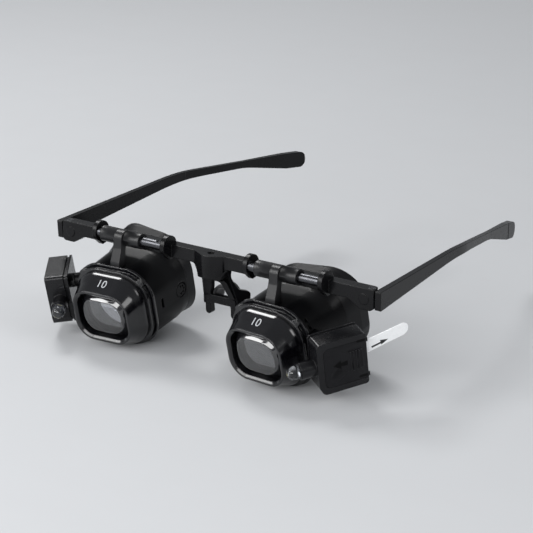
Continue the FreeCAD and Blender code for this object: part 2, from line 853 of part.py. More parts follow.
def housing_hollow():
    """Inside of the housing: two chambers with the web of the eye lens between them."""
    rear = even(flare_at, flare_width, flare_top, flare_bottom, flare_corner, eyecup_wall + housing_wall)
    wide = housing_stations(housing_wall)
    narrow_at = flare_at - housing_wall
    inside = hull([
        (housing_start - overrun,) + tuple(wide[0][1:]),
        wide[0],
        wide[1],
        (narrow_at - housing_wall,) + tuple(wide[2][1:]),
        (narrow_at,) + rear[1:],
        (flare_at + spigot_length + overrun,) + rear[1:],
    ])
    web = block(around(0, housing_width),
                (housing_start + web_along, housing_start + web_along + web_thick),
                around(0, housing_height))
    return inside.cut(web)


def housing_windows():
    """Slots on the nose side and on the lamp side."""
    half = housing_width / 2
    reach = 2 * housing_wall
    inner = block((-half - housing_wall, -half + reach),
                  around(housing_start + window_inner_along, window_width / 2),
                  around(0, window_height / 2))
    outer = block((half - reach, half + housing_wall),
                  around(housing_start + window_outer_along, window_width / 2),
                  around(window_outer_rise, window_height / 2))
    return [inner, outer]


def housing():
    """Lens housing: a shell that passes under the brow bar and flares to the eyecup's spigot."""
    spigot = even(flare_at, flare_width, flare_top, flare_bottom, flare_corner, eyecup_wall)
    solid = hull(housing_stations()).fuse(hull([spigot, (flare_at + spigot_length,) + spigot[1:]]))
    bore = Part.makeCylinder(eye_lens_radius + lens_edge_gap, web_thick + 2 * overrun,
                             V(0, housing_start + web_along - overrun, 0), WAY["y"])
    cuts = [housing_hollow(), bore] + housing_windows() + vent_cuts(-waist_width / 2)
    return solid.cut(cuts)


def eye_lens():
    """Round biconvex lens held in the housing's web."""
    middle = housing_start + web_along + web_thick / 2
    disc = Part.makeCylinder(eye_lens_radius, eye_lens_thick, V(0, middle - eye_lens_thick / 2, 0), WAY["y"])
    front = Part.makeSphere(eye_lens_curve, V(0, middle - eye_lens_thick / 2 + eye_lens_curve, 0))
    rear = Part.makeSphere(eye_lens_curve, V(0, middle + eye_lens_thick / 2 - eye_lens_curve, 0))
    return disc.common(front).common(rear)


def eyecup():
    """Soft cup whose rim runs further back on the temple side."""
    start = even(flare_at, flare_width, flare_top, flare_bottom, flare_corner)
    rim = (rim_at, eyecup_width, eyecup_height, eyecup_corner)
    far = rim_at + eyecup_outer_reach
    skin = hull([start, rim, (far,) + rim[1:]])
    inner_start = even(flare_at, flare_width, flare_top, flare_bottom, flare_corner, eyecup_wall)
    inner_rim = (rim_at, eyecup_width - 2 * eyecup_wall, eyecup_height - 2 * eyecup_wall,
                 eyecup_corner - eyecup_wall)
    inside = hull([(flare_at - overrun,) + inner_start[1:], (flare_at + spigot_length,) + inner_start[1:],
                   inner_rim, (far + overrun,) + inner_rim[1:]])
    wide = eyecup_width
    edge = [(-wide, rim_at - eyecup_inner_cut, 0),
            (0, rim_at, eyecup_width),
            (wide / 2, far, eyecup_outer_reach),
            (wide, far, 0),
            (wide, far + wide, 0),
            (-wide, far + wide, 0)]
    trim = slab(edge, -wide, wide, "z")
    return skin.cut(inside).cut(trim)


def hanger(shift):
    """Sleeve that rides on the rod, with the strap that carries the housing, set off by a shift."""
    strap_x = sleeve_x + shift
    span = around(sleeve_x, sleeve_length / 2)
    sleeve = Part.makeCylinder(sleeve_radius, sleeve_length, V(span[0], rod_y, rod_z), WAY["x"])
    top = rod_z + sleeve_radius + edge_round / 2
    front = rod_y - sleeve_radius - hanger_thick / 2
    foot = LOUPE.multVec(V(0, housing_start, housing_height / 2))
    outline = [
        (rod_y, top, 0),
        (front, top, sleeve_radius),
        (front - edge_round, rod_z - sleeve_radius, sleeve_radius),
        (foot.y, foot.z + hanger_thick, hanger_thick),
        (foot.y, foot.z - hanger_thick, 0),
        (foot.y + 2 * hanger_thick, foot.z - hanger_thick, 0),
        (front + hanger_thick, rod_z - sleeve_radius - edge_round, sleeve_radius),
        (rod_y, rod_z, 0),
    ]
    side = slab(outline, strap_x - hanger_foot_width, strap_x + hanger_foot_width, "x")
    face = slab([(strap_x - hanger_foot_width / 2, foot.z - 2 * hanger_thick, 0),
                 (strap_x + hanger_foot_width / 2, foot.z - 2 * hanger_thick, 0),
                 (strap_x + hanger_width / 2, rod_z, hanger_width),
                 (strap_x + hanger_width / 2, top + overrun, 0),
                 (strap_x - hanger_width / 2, top + overrun, 0),
                 (strap_x - hanger_width / 2, rod_z, hanger_width)],
                foot.y - hanger_thick, rod_y + sleeve_radius, "y")
    strap = side.common(face)
    bore = Part.makeCylinder(rod_radius + running_gap, sleeve_length + 2 * overrun,
                             V(span[0] - overrun, rod_y, rod_z), WAY["x"])
    body = placed(hull(housing_stations()), LOUPE)
    ring = placed(hull([(hood_length, collar_width, collar_height, collar_corner),
                        (housing_start, collar_width, collar_height, collar_corner)]), LOUPE)
    return fused([sleeve, strap]).cut([bore, body, ring])


# Lamp
half_thick = lamp_thick / 2
half_length = lamp_length / 2
half_height = lamp_height / 2
lid_outer = -half_thick + lid_thick          # plane where the lid meets the case
cover_inner = half_thick - cover_thick       # plane under the battery cover
pivot_point = V(-half_thick, pivot_along, pivot_rise)


def case_outline(inset=0.0):
    """Side view of the lamp box, with its chamfered lower front corner."""
    front = -half_length + inset
    rear = half_length - inset
    top = half_height - inset
    bottom = -half_height + inset
    soft = lamp_round
    return [
        (front, top, soft),
        (front, bottom + chamfer_height, chamfer_round),
        (front + chamfer_length, bottom, chamfer_round),
        (rear, bottom, soft),
        (rear, top, soft),
    ]


def cover_outline(gap=0.0):
    """Side view of the battery cover, or of its opening with a gap."""
    front = -half_length + cover_front - gap
    rear = half_length
    top = half_height - cover_margin + gap
    bottom = -half_height + cover_margin - gap
    return [(front, top, cover_round), (front, bottom, cover_round), (rear, bottom, 0), (rear, top, 0)]


def widened(outline, grow, stretch):
    """An outline grown above and below and pushed out at the rear."""
    middle = (outline[0][1] + outline[1][1]) / 2
    rows = []
    for along, height, radius in outline:
        push = stretch if along >= half_length else 0
        rows.append((along + push, height + math.copysign(grow, height - middle), radius))
    return rows


def cell_pocket():
    """Round well for the two cells, closed by the lid and by the cover."""
    depth = cover_inner - lid_outer
    return Part.makeCylinder(cell_radius + moving_gap, depth + 2 * overrun, V(lid_outer - overrun, 0, 0),
                             WAY["x"])


def lamp_case():
    """Main shell of the lamp with the tube for the diode and the guides of the cover."""
    body = slab(case_outline(), lid_outer, half_thick, "x")
    tube = bar_between(V(0, -half_length - tube_length, -tube_drop), V(0, -half_length, -tube_drop),
                       tube_radius)
    whole = body.fuse(tube)
    opening = slab(widened(cover_outline(sliding_gap), 0, overrun), cover_inner - sliding_gap,
                   half_thick + overrun, "x")
    rails = slab(widened(cover_outline(sliding_gap), cover_rail, overrun), cover_inner - sliding_gap,
                 cover_inner + cover_thick / 2 + sliding_gap, "x")
    bore = bar_between(V(0, -half_length - tube_length - overrun, -tube_drop),
                       V(0, -half_length, -tube_drop), led_flange_radius + lens_edge_gap)
    tab_slot = block((tab_plane() - sliding_gap, tab_plane() + tab_thick + sliding_gap),
                     (-tab_inside, half_length + overrun),
                     around(tab_rise, tab_width / 2 + sliding_gap))
    slit = block(around(0, switch_width / 2 + sliding_gap),
                 (switch_start() - sliding_gap, switch_start() + switch_length + switch_travel + sliding_gap),
                 (-half_height - overrun, -half_height + 2 * lamp_wall))
    return whole.cut([opening, rails, bore, cell_pocket(), tab_slot, slit]).removeSplitter()


def tab_plane():
    """Inner face of the pull tab: between the outer cell and the contact under the cover."""
    return cover_inner - sliding_gap - contact_thick - tab_thick - cell_gap


def switch_start():
    """Front end of the switch knob at rest."""
    return half_length - chamfer_length - switch_length


def lamp_lid():
    """Inner half of the lamp box with a stepped seam and the boss that turns on the pivot pin."""
    plate = slab(case_outline(), -half_thick, lid_outer - lid_step, "x")
    step = slab(case_outline(edge_round), lid_outer - lid_step, lid_outer, "x")
    boss = Part.makeCylinder(pivot_boss_radius, pivot_boss_length, pivot_point, -WAY["x"])
    bore = Part.makeCylinder(pivot_radius + running_gap, pivot_boss_length + lid_thick + 2 * overrun,
                             pivot_point + WAY["x"] * (lid_thick + overrun), -WAY["x"])
    return fused([plate, step, boss]).cut(bore)


def led():
    """Clear diode: a domed body on a flange."""
    nose = -half_length - tube_length - led_proud + led_radius
    body = bar_between(V(0, -half_length, -tube_drop), V(0, nose, -tube_drop), led_radius)
    dome = Part.makeSphere(led_radius, V(0, nose, -tube_drop))
    flange = bar_between(V(0, -half_length, -tube_drop),
                         V(0, -half_length - led_flange_thick, -tube_drop), led_flange_radius)
    return fused([body, dome, flange])


def led_ring():
    """Bright ring at the mouth of the tube."""
    mouth = -half_length - tube_length
    outer = bar_between(V(0, mouth - led_ring_thick, -tube_drop), V(0, mouth + led_ring_length, -tube_drop),
                        led_flange_radius + lens_edge_gap)
    hole = bar_between(V(0, mouth - led_ring_thick - overrun, -tube_drop),
                       V(0, mouth + led_ring_length + overrun, -tube_drop), led_radius)
    return outer.cut(hole)


def cells():
    """Stack of button cells, each with its smaller negative cap."""
    stack = []
    face = tab_plane() - cell_gap
    for index in range(cell_count):
        start = face - index * (cell_thick + cell_gap)
        can = Part.makeCylinder(cell_radius, cell_thick * cell_can_share, V(start, 0, 0), -WAY["x"])
        cap = Part.makeCylinder(cell_radius * cell_cap_share, cell_thick * (1 - cell_can_share),
                                V(start - cell_thick * cell_can_share, 0, 0), -WAY["x"])
        stack.append(can.fuse(cap).removeSplitter())
    return Part.makeCompound(stack)


def contacts():
    """Contact strips on both faces of the cell stack."""
    outer_face = cover_inner - sliding_gap - contact_thick
    inner_face = tab_plane() - cell_gap - cell_count * (cell_thick + cell_gap)
    strips = []
    for face in (outer_face, inner_face - contact_thick):
        strips.append(block((face, face + contact_thick), around(0, contact_reach),
                            around(0, contact_width / 2)))
    return Part.makeCompound(strips)


def cover_arrow():
    """Raised arrow that points the way the cover slides."""
    middle = -half_length + cover_front + lamp_length * arrow_place_share
    reach = ridge_pitch
    shaft = reach * arrow_shaft_share
    outline = [(middle + reach, 0, 0), (middle, reach, 0), (middle, shaft, 0), (middle - reach, shaft, 0),
               (middle - reach, -shaft, 0), (middle, -shaft, 0), (middle, -reach, 0)]
    return slab(outline, cover_inner, half_thick + ridge_proud, "x")


def battery_cover():
    """Sliding cover with rails, grip ridges, an arrow and two latch nibs."""
    plate = slab(cover_outline(), cover_inner, half_thick, "x")
    rails = slab(widened(cover_outline(), cover_rail, 0), cover_inner, cover_inner + cover_thick / 2, "x")
    shapes = [plate, rails, cover_arrow()]
    last = half_length - 2 * ridge_pitch
    for index in range(ridge_count):
        along = last - index * ridge_pitch
        shapes.append(block((cover_inner, half_thick + ridge_proud), around(along, ridge_width / 2),
                            around(0, ridge_height / 2)))
    for side in (-1, 1):
        height = side * (half_height - cover_margin - latch_size / 2)
        shapes.append(block((cover_inner, half_thick - edge_round), (half_length - latch_size, half_length + latch_size / 2),
                            around(height, latch_size / 2)))
    return fused(shapes)


def pull_tab():
    """Thin insulating strip with a rounded end, laid between a cell and its contact."""
    end = half_length + tab_reach
    half = tab_width / 2
    outline = [(-tab_inside + sliding_gap, tab_rise - half, edge_round), (end, tab_rise - half, half - edge_round / 2),
               (end, tab_rise + half, half - edge_round / 2), (-tab_inside + sliding_gap, tab_rise + half, edge_round)]
    return slab(outline, tab_plane(), tab_plane() + tab_thick, "x")


def switch_knob():
    """Slide switch under the lamp: a ribbed knob on a flat foot."""
    start = switch_start()
    foot_top = -half_height + 2 * lamp_wall - sliding_gap
    return block(around(0, switch_width / 2), (start, start + switch_length),
                 (-half_height - switch_proud, foot_top))


def pivot_pin():
    """Pin that the lamp turns on, held in the arm of the housing."""
    start = pivot_point + WAY["x"] * (lid_thick - moving_gap)
    end = pivot_point - WAY["x"] * (pivot_boss_length + arm_eye_length)
    return bar_between(start, end, pivot_radius)


def lamp_arm():
    """Arm from the housing's side to the lamp's pivot, with the hole that grips the pin."""
    eye_start = pivot_point - WAY["x"] * (pivot_boss_length + sliding_gap)
    eye_end = eye_start - WAY["x"] * arm_eye_length
    eye = placed(bar_between(eye_start, eye_end, pivot_boss_radius), LAMP)
    pin = placed(bar_between(eye_start + WAY["x"] * overrun, eye_end - WAY["x"] * overrun, pivot_radius), LAMP)
    middle = LAMP.multVec((eye_start + eye_end) * (1 / 2))
    root = LOUPE.multVec(V(housing_width / 2 - housing_wall, housing_start + arm_root_along, arm_root_rise))
    stem = bar_between(root, middle, arm_radius)
    body = placed(hull(housing_stations()), LOUPE)
    return fused([eye, stem]).cut([pin, body])


# Nodes
def left_and_right(name, shape):
    """The left piece and its mirrored twin."""
    return {name + "_left": shape, name + "_right": mirrored(shape)}


def slid(pieces):
    """Pieces that ride on the rods, moved to where they rest."""
    for shape in pieces.values():
        shape.translate(V(rest_slide, 0, 0))
    return pieces


def fixed_nodes():
    """Bar, nose saddle, rods and temples."""
    nodes = {"brow_bar": brow_bar(), "nose_saddle": nose_saddle()}
    nodes.update(left_and_right("hinge_screw", slotted_screw()))
    nodes["temple_arm_left"] = temple_arm(temple_pitch + hinge_play / 2)
    nodes["temple_arm_right"] = mirrored(temple_arm(temple_pitch - hinge_play / 2))
    nodes["temple_tip_left"] = temple_tip(temple_pitch + hinge_play / 2)
    nodes["temple_tip_right"] = mirrored(temple_tip(temple_pitch - hinge_play / 2))
    nodes.update(left_and_right("slide_rod", rod()))
    return nodes


def sliding_nodes():
    """Loupes and lamps of both sides."""
    nodes = {"hanger_left": hanger(strap_shift), "hanger_right": mirrored(hanger(-strap_shift))}
    nodes.update(left_and_right("lamp_arm", lamp_arm()))
    for name, make in (("lens_hood", lens_hood), ("front_lens", front_lens), ("collar_ring", collar),
                       ("lens_housing", housing), ("eye_lens", eye_lens), ("eyecup", eyecup)):
        nodes.update(left_and_right(name, placed(make(), LOUPE)))
    for name, make in (("lamp_case", lamp_case), ("lamp_lid", lamp_lid), ("led", led), ("led_ring", led_ring),
                       ("button_cells", cells), ("contact_strips", contacts), ("battery_cover", battery_cover),
                       ("switch_knob", switch_knob), ("pivot_pin", pivot_pin)):
        nodes.update(left_and_right(name, placed(make(), LAMP)))
    nodes["pull_tab"] = placed(pull_tab(), LAMP)
    return nodes


for pieces in (fixed_nodes(), slid(sliding_nodes())):
    for node, shape in pieces.items():
        shape.exportStep("parts/" + node + ".step")
        print(node, "solids", len(shape.Solids), "volume", round(shape.Volume, 1), "valid", shape.isValid())
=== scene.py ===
import json
import math

import bmesh
import bpy
from bpy.props import (FloatProperty, FloatVectorProperty, IntProperty, PointerProperty,
                       StringProperty)
from mathutils import Matrix, Vector
from mathutils.bvhtree import BVHTree

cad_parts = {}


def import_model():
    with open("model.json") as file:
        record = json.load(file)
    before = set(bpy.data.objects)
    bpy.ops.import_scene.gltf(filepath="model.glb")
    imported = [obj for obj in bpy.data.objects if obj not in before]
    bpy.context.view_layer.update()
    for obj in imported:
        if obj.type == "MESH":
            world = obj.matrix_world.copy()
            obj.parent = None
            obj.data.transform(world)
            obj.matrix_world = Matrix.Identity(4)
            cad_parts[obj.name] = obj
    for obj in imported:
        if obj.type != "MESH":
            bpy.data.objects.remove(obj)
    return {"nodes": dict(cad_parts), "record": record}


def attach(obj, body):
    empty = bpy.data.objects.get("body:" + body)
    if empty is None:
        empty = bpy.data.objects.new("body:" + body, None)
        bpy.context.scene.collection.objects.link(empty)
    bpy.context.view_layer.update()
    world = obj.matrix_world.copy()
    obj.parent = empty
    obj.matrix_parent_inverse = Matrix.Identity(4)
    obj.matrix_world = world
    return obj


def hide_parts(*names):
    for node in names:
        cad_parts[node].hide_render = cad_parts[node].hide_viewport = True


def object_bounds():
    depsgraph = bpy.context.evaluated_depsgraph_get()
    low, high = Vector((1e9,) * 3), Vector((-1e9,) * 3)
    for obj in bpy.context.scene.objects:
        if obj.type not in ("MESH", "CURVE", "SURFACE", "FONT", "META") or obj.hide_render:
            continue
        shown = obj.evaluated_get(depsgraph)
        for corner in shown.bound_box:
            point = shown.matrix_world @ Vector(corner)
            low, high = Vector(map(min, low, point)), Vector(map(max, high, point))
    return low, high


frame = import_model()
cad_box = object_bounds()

bl_info = {
    "name": "Headband magnifier",
    "version": (1, 0, 0),
    "blender": (4, 5, 0),
    "location": "View3D > Sidebar > Magnifier",
    "description": "Finishes a spectacle-type magnifier with two sliding loupes and two lamps",
    "category": "Object",
}

MM = 0.001
SIDES = ("left", "right")
# A loupe's frame and a lamp's frame: place in mm, then degrees of toe, pitch and roll
LOUPE_PLACE = (33.65, -17.3, -27.0, 4.0, 12.5, 0.0)
LAMP_PLACE = (60.7, -6.6, -24.8, 34.2, 8.5, 7.5)
# How far both loupes stand to the side on their rods at rest, in mm
REST_SLIDE = -3.0

# Distance and angle within which a solid's triangles are joined, and where its edges stay sharp
JOIN_WITHIN = 2e-6
FLAT_WITHIN = math.radians(0.2)
SHARP_DEGREES = 28
# Depth of the fine grain of satin plastic, in metres
SATIN_GRAIN = 0.0000012

# Window in the hood, which the front lens fills: half width, half height and corner radius in mm
WINDOW = (10.45, 8.6, 5.7)
# Hood, in mm back from the window: depths where it is cut into rows, and rows of depth, half
# width and half height of the solid's sides and of the sides that are seen
HOOD_CUTS = (2.5, 4.6, 5.6, 6.6, 6.7, 6.8, 7.1, 7.4, 7.7, 8.0, 8.3)
HOOD_SOLID = ((0.0, 11.95, 10.1), (4.2, 13.136, 11.818), (7.5, 14.425, 13.525), (8.6, 14.6, 13.7))
HOOD_SEEN = ((0.0, 11.95, 10.1), (4.2, 13.136, 11.818), (6.6, 14.25, 13.33), (6.7, 14.29, 13.375),
             (6.8, 14.325, 13.41), (7.4, 14.43, 13.53), (8.0, 14.52, 13.625), (8.6, 14.6, 13.7))
HOOD_MARGIN = 0.02
# Share of the half width or half height beyond which a point is on the hood's outside
HOOD_OUTSIDE = 0.78

# Battery cover in the lamp's frame, in mm: its flat face, where the grips start, and marks as
# outlines of (along, up) that stand between two levels
COVER_FACE = 4.3
GRIP_START = (4.14, 3.0, 0.6)
ARROW_LEVELS = (4.2, 4.36)
COVER_ARROW = ((-3.5, 0.3), (-0.7, 1.95), (-0.7, 0.95), (1.7, 1.25), (1.7, -0.6), (-0.7, -0.3),
               (-0.7, -1.3))
# Notch marks: dark plates on the cover that paint the shade of recesses at its rear corners
NOTCH_LEVELS = (4.2, 4.34)
COVER_NOTCH_SHADES = (("upper", 6.85, 7.75), ("lower", -6.95, -6.05))
NOTCH_START, NOTCH_END, NOTCH_CORNER = 5.5, 8.6, (0.4, 0.3)
# Switch ribs: length, and middle of the row
RIB_LENGTH = 1.8
RIB_MIDDLE = (0.0, 6.0, -10.76)
# Diode: height of its axis, rows of (radius, along) of what it holds, and its leads' offset
DIODE_RISE = -0.4
DIODE_CUP = ((0.0, -13.0), (0.75, -13.0), (1.7, -14.6), (1.95, -14.6), (1.95, -12.0), (0.0, -12.0))
DIODE_DIE = ((0.0, -13.3), (0.5, -13.3), (0.6, -13.15), (0.6, -12.98), (0.0, -12.98))
DIODE_LEAD = ((0.0, -12.05), (0.22, -12.05), (0.22, -9.2), (0.0, -9.2))
LEAD_OFFSET = 0.65
# Arrow on the pull tab, as an outline of (along, up)
TAB_ARROW = ((11.4, 2.75), (14.85, 3.45), (14.75, 4.2), (17.7, 3.75), (15.1, 2.3), (15.0, 2.8),
             (11.6, 2.1))

# Camera: degrees of azimuth, elevation and roll, distance and shifts in metres, focal length
# and width of the picture in pixels, and width of the sensor in mm
CAMERA_TURN = (35.0, 19.333, -0.251)
CAMERA_DISTANCE = 0.7
CAMERA_SHIFT = (0.019516, -0.004778)
FOCAL_PIXELS, PICTURE_PIXELS, SENSOR_WIDTH = 1991.5, 533.0, 36.0
# Point that the lights are aimed at
LIGHT_TARGET = (0.0, 0.0, -0.015)


# Values a user would change
def metres(name, description, default, **more):
    return FloatProperty(name=name, description=description, default=default, subtype="DISTANCE",
                         unit="LENGTH", precision=5, **more)


def colour(name, description, default):
    return FloatVectorProperty(name=name, description=description, default=default, subtype="COLOR",
                               size=3, min=0.0, max=1.0)


def share(name, description, default):
    return FloatProperty(name=name, description=description, default=default, min=0.0, max=1.0,
                         subtype="FACTOR")


def power(name, description, default):
    return FloatProperty(name=name, description=description, default=default, unit="POWER", min=0.0)


class MagnifierFinishes(bpy.types.PropertyGroup):
    """Colours and surface of each finish."""

    frame_colour: colour("Frame", "Satin plastic of bar and temples", (0.0028, 0.0028, 0.0033))
    frame_rough: share("Frame roughness", "Roughness of bar and temples", 0.28)
    hood_colour: colour("Hood", "Glossy plastic of hood and collar", (0.0020, 0.0020, 0.0028))
    hood_rough: share("Hood roughness", "Roughness of hood and collar", 0.16)
    housing_colour: colour("Housing", "Plastic of the lens housing", (0.0018, 0.0018, 0.0022))
    housing_rough: share("Housing roughness", "Roughness of the housing", 0.34)
    eyecup_colour: colour("Eyecup", "Matte plastic of the eyecup", (0.0035, 0.0035, 0.0042))
    lamp_colour: colour("Lamp", "Plastic of the lamp boxes", (0.0042, 0.0042, 0.0050))
    rubber_colour: colour("Rubber", "Soft nose saddle", (0.0100, 0.0100, 0.0115))
    steel_colour: colour("Steel", "Ground steel rods", (0.085, 0.087, 0.094))
    tab_colour: colour("Tab", "White polyester strip", (0.90, 0.91, 0.92))
    print_colour: colour("Print", "Light ink of the numbers", (0.42, 0.43, 0.445))


class MagnifierSizes(bpy.types.PropertyGroup):
    """Sizes of the pieces that are added to the solids."""

    edge_soft: metres("Soft edge", "Radius seen on moulded edges", 0.0003)
    number_height: metres("Number height", "Height of the number on each hood", 0.0029)
    number_text: StringProperty(name="Number", description="Plain number on each hood",
                                default="10")
    hood_lip: metres("Window lip", "Chamfer around each hood's window", 0.0007)
    lens_bevel: metres("Lens bevel", "Width of the rolled edge of each front lens", 0.0023)
    lens_slope: FloatProperty(name="Lens edge slope", default=math.radians(42), subtype="ANGLE",
                              description="Slope of the rolled edge at the rim")
    ridge_count: IntProperty(name="Ridges", description="Grip ridges on each battery cover",
                             default=5, min=2)
    ridge_pitch: metres("Ridge pitch", "Distance between grip ridges", 0.00105)
    ridge_length: metres("Ridge length", "Length of a grip ridge", 0.0068)
    ridge_radius: metres("Ridge radius", "Radius of a grip ridge", 0.00038)
    rib_count: IntProperty(name="Switch ribs", description="Ribs on each lamp switch",
                           default=5, min=2)
    rib_pitch: metres("Rib pitch", "Distance between switch ribs", 0.00055)
    rib_radius: metres("Switch rib", "Radius of a rib on the lamp switch", 0.00014)


class MagnifierStage(bpy.types.PropertyGroup):
    """Floor and lights."""

    floor_colour: colour("Floor", "Pale floor", (0.58, 0.59, 0.605))
    back_power: power("Back light", "Power of the soft light behind the left shoulder", 3.4)
    key_power: power("Key light", "Power of the soft light at the front left", 3.4)
    front_power: power("Front light", "Power of the wide light in front", 6.6)
    fill_power: power("Fill light", "Power of the light on the lamp side", 2.0)
    world_light: share("World", "Strength of the surrounding light", 0.3)


GROUPS = (("magnifier_finishes", MagnifierFinishes), ("magnifier_sizes", MagnifierSizes),
          ("magnifier_stage", MagnifierStage))


# Materials
class Shade:
    """One procedural material under construction."""

    def __init__(self, name):
        self.material = bpy.data.materials.new(name)
        self.material.use_nodes = True
        self.tree = self.material.node_tree
        self.tree.nodes.clear()
        self.shader = self.node("ShaderNodeBsdfPrincipled")
        out = self.node("ShaderNodeOutputMaterial")
        self.link(self.shader.outputs["BSDF"], out.inputs["Surface"])
        self.place = self.node("ShaderNodeTexCoord").outputs["Object"]

    def node(self, kind, **settings):
        made = self.tree.nodes.new(kind)
        for key, value in settings.items():
            setattr(made, key, value)
        return made

    def link(self, start, end):
        self.tree.links.new(start, end)

    def set(self, **values):
        for key, value in values.items():
            self.shader.inputs[key.replace("_", " ")].default_value = value

    def paint(self, colour_socket):
        """Use a socket as the base colour."""
        self.link(colour_socket, self.shader.inputs["Base Color"])

    def polish(self, rough_socket):
        """Use a socket as the roughness."""
        self.link(rough_socket, self.shader.inputs["Roughness"])

    def stretched(self, x, y, z):
        """Object coordinates stretched along the axes."""
        mapping = self.node("ShaderNodeMapping")
        mapping.inputs["Scale"].default_value = (x, y, z)
        self.link(self.place, mapping.inputs["Vector"])
        return mapping.outputs["Vector"]

    def noise(self, size, detail=2.0, vector=None):
        """Noise whose features are about as large as size, in metres."""
        made = self.node("ShaderNodeTexNoise")
        made.inputs["Scale"].default_value = 1.0 / size
        made.inputs["Detail"].default_value = detail
        self.link(vector or self.place, made.inputs["Vector"])
        return made.outputs["Fac"]

    def spread(self, value, low, high, start=0.3, end=0.7):
        """Value mapped from start..end to low..high."""
        made = self.node("ShaderNodeMapRange")
        for key, number in (("From Min", start), ("From Max", end), ("To Min", low),
                            ("To Max", high)):
            made.inputs[key].default_value = number
        self.link(value, made.inputs["Value"])
        return made.outputs["Result"]

    def mix(self, share_of, first, second):
        """Mix of two colours."""
        made = self.node("ShaderNodeMix", data_type="RGBA")
        self.link(share_of, made.inputs["Factor"])
        for socket, value in ((made.inputs["A"], first), (made.inputs["B"], second)):
            if isinstance(value, bpy.types.NodeSocket):
                self.link(value, socket)
            else:
                socket.default_value = tuple(value) + (1.0,)
        return made.outputs["Result"]

    def maths(self, operation, first, second):
        made = self.node("ShaderNodeMath", operation=operation)
        for socket, value in zip(made.inputs, (first, second)):
            if isinstance(value, bpy.types.NodeSocket):
                self.link(value, socket)
            else:
                socket.default_value = value
        return made.outputs["Value"]

    def soft_edge(self, radius):
        """Normals rounded over edges, and how near a worn edge is."""
        bevel = self.node("ShaderNodeBevel", samples=6)
        bevel.inputs["Radius"].default_value = radius
        facing = self.node("ShaderNodeVectorMath", operation="DOT_PRODUCT")
        flat = self.node("ShaderNodeNewGeometry")
        self.link(bevel.outputs["Normal"], facing.inputs[0])
        self.link(flat.outputs["Normal"], facing.inputs[1])
        return bevel.outputs["Normal"], self.spread(facing.outputs["Value"], 1.0, 0.0, 0.8, 1.0)

    def bump(self, height, depth, normal=None):
        """Bump of a depth in metres on top of a normal."""
        made = self.node("ShaderNodeBump")
        made.inputs["Distance"].default_value = depth
        self.link(height, made.inputs["Height"])
        if normal:
            self.link(normal, made.inputs["Normal"])
        self.link(made.outputs["Normal"], self.shader.inputs["Normal"])


def lighter(base, factor, lift=0.0):
    return tuple(min(1.0, channel * factor + lift) for channel in base)


def moulded(name, base, rough, grain=0.00028, depth=0.000008, wear=0.35, coat=0.0, soft=0.00022,
            gleam=0.5):
    """Injection-moulded plastic: fine spark texture, faint flow marks, slightly polished edges."""
    flow_size, dust_size, smoother, rougher, edge_gloss = 0.009, 0.0016, 0.015, 0.02, 0.03
    shade = Shade(name)
    normal, edge = shade.soft_edge(soft)
    flow = shade.noise(flow_size, 3.0, shade.stretched(0.5, 1.0, 1.3))
    spark = shade.noise(grain)
    dust = shade.noise(dust_size, 4.0)
    body = shade.mix(shade.spread(flow, 0.0, 1.0), base, lighter(base, 1.5, 0.0005))
    rubbed = shade.maths("MULTIPLY", edge, shade.spread(dust, 0.0, wear))
    shade.paint(shade.mix(rubbed, body, lighter(base, 3.0, 0.008)))
    patches = shade.maths("ADD", flow, dust)
    dull = shade.spread(patches, rough - smoother, rough + rougher, 0.75, 1.25)
    shade.polish(shade.maths("SUBTRACT", dull, shade.maths("MULTIPLY", edge, edge_gloss)))
    shade.bump(spark, depth, normal)
    shade.set(Specular_IOR_Level=gleam, Coat_Weight=coat, Coat_Roughness=0.08)
    return shade.material


def ground_steel(name, base, rough, along=(0.02, 1.0, 1.0)):
    """Steel ground along its length: fine lines and small shifts in gloss."""
    edge_radius, line_size, patch_size, line_depth = 0.00012, 0.00007, 0.003, 0.0000005
    smoother, rougher = 0.06, 0.1
    shade = Shade(name)
    normal = shade.soft_edge(edge_radius)[0]
    lines = shade.noise(line_size, 2.0, shade.stretched(*along))
    patches = shade.noise(patch_size, 3.0)
    shade.paint(shade.mix(shade.spread(patches, 0.0, 1.0), base, lighter(base, 0.8)))
    mottled = shade.maths("ADD", lines, patches)
    shade.polish(shade.spread(mottled, rough - smoother, rough + rougher, 0.7, 1.3))
    shade.bump(lines, line_depth, normal)
    shade.set(Metallic=1.0)
    return shade.material


def clear_body(name, tint, ior, rough, coat=0.0, gleam=0.5):
    """Clear glass or epoxy with the faintest smears."""
    smear_size = 0.004
    shade = Shade(name)
    smear = shade.noise(smear_size, 3.0)
    shade.paint(shade.mix(shade.spread(smear, 0.0, 1.0), tint, lighter(tint, 0.97)))
    shade.polish(shade.spread(smear, rough, rough + 0.02))
    shade.set(Transmission_Weight=1.0, IOR=ior, Specular_IOR_Level=gleam)
    shade.set(Coat_Weight=coat, Coat_Roughness=0.02)
    return shade.material


def soft_rubber(name, base):
    """Silky silicone with a dusty bloom."""
    bloom_size, pore_size, pore_depth = 0.0035, 0.00018, 0.00001
    shade = Shade(name)
    bloom = shade.noise(bloom_size, 4.0)
    pores = shade.noise(pore_size)
    shade.paint(shade.mix(shade.spread(bloom, 0.0, 1.0), base, lighter(base, 1.8, 0.003)))
    shade.polish(shade.spread(bloom, 0.55, 0.7))
    shade.bump(pores, pore_depth)
    shade.set(Sheen_Weight=0.25, Sheen_Roughness=0.4)
    return shade.material


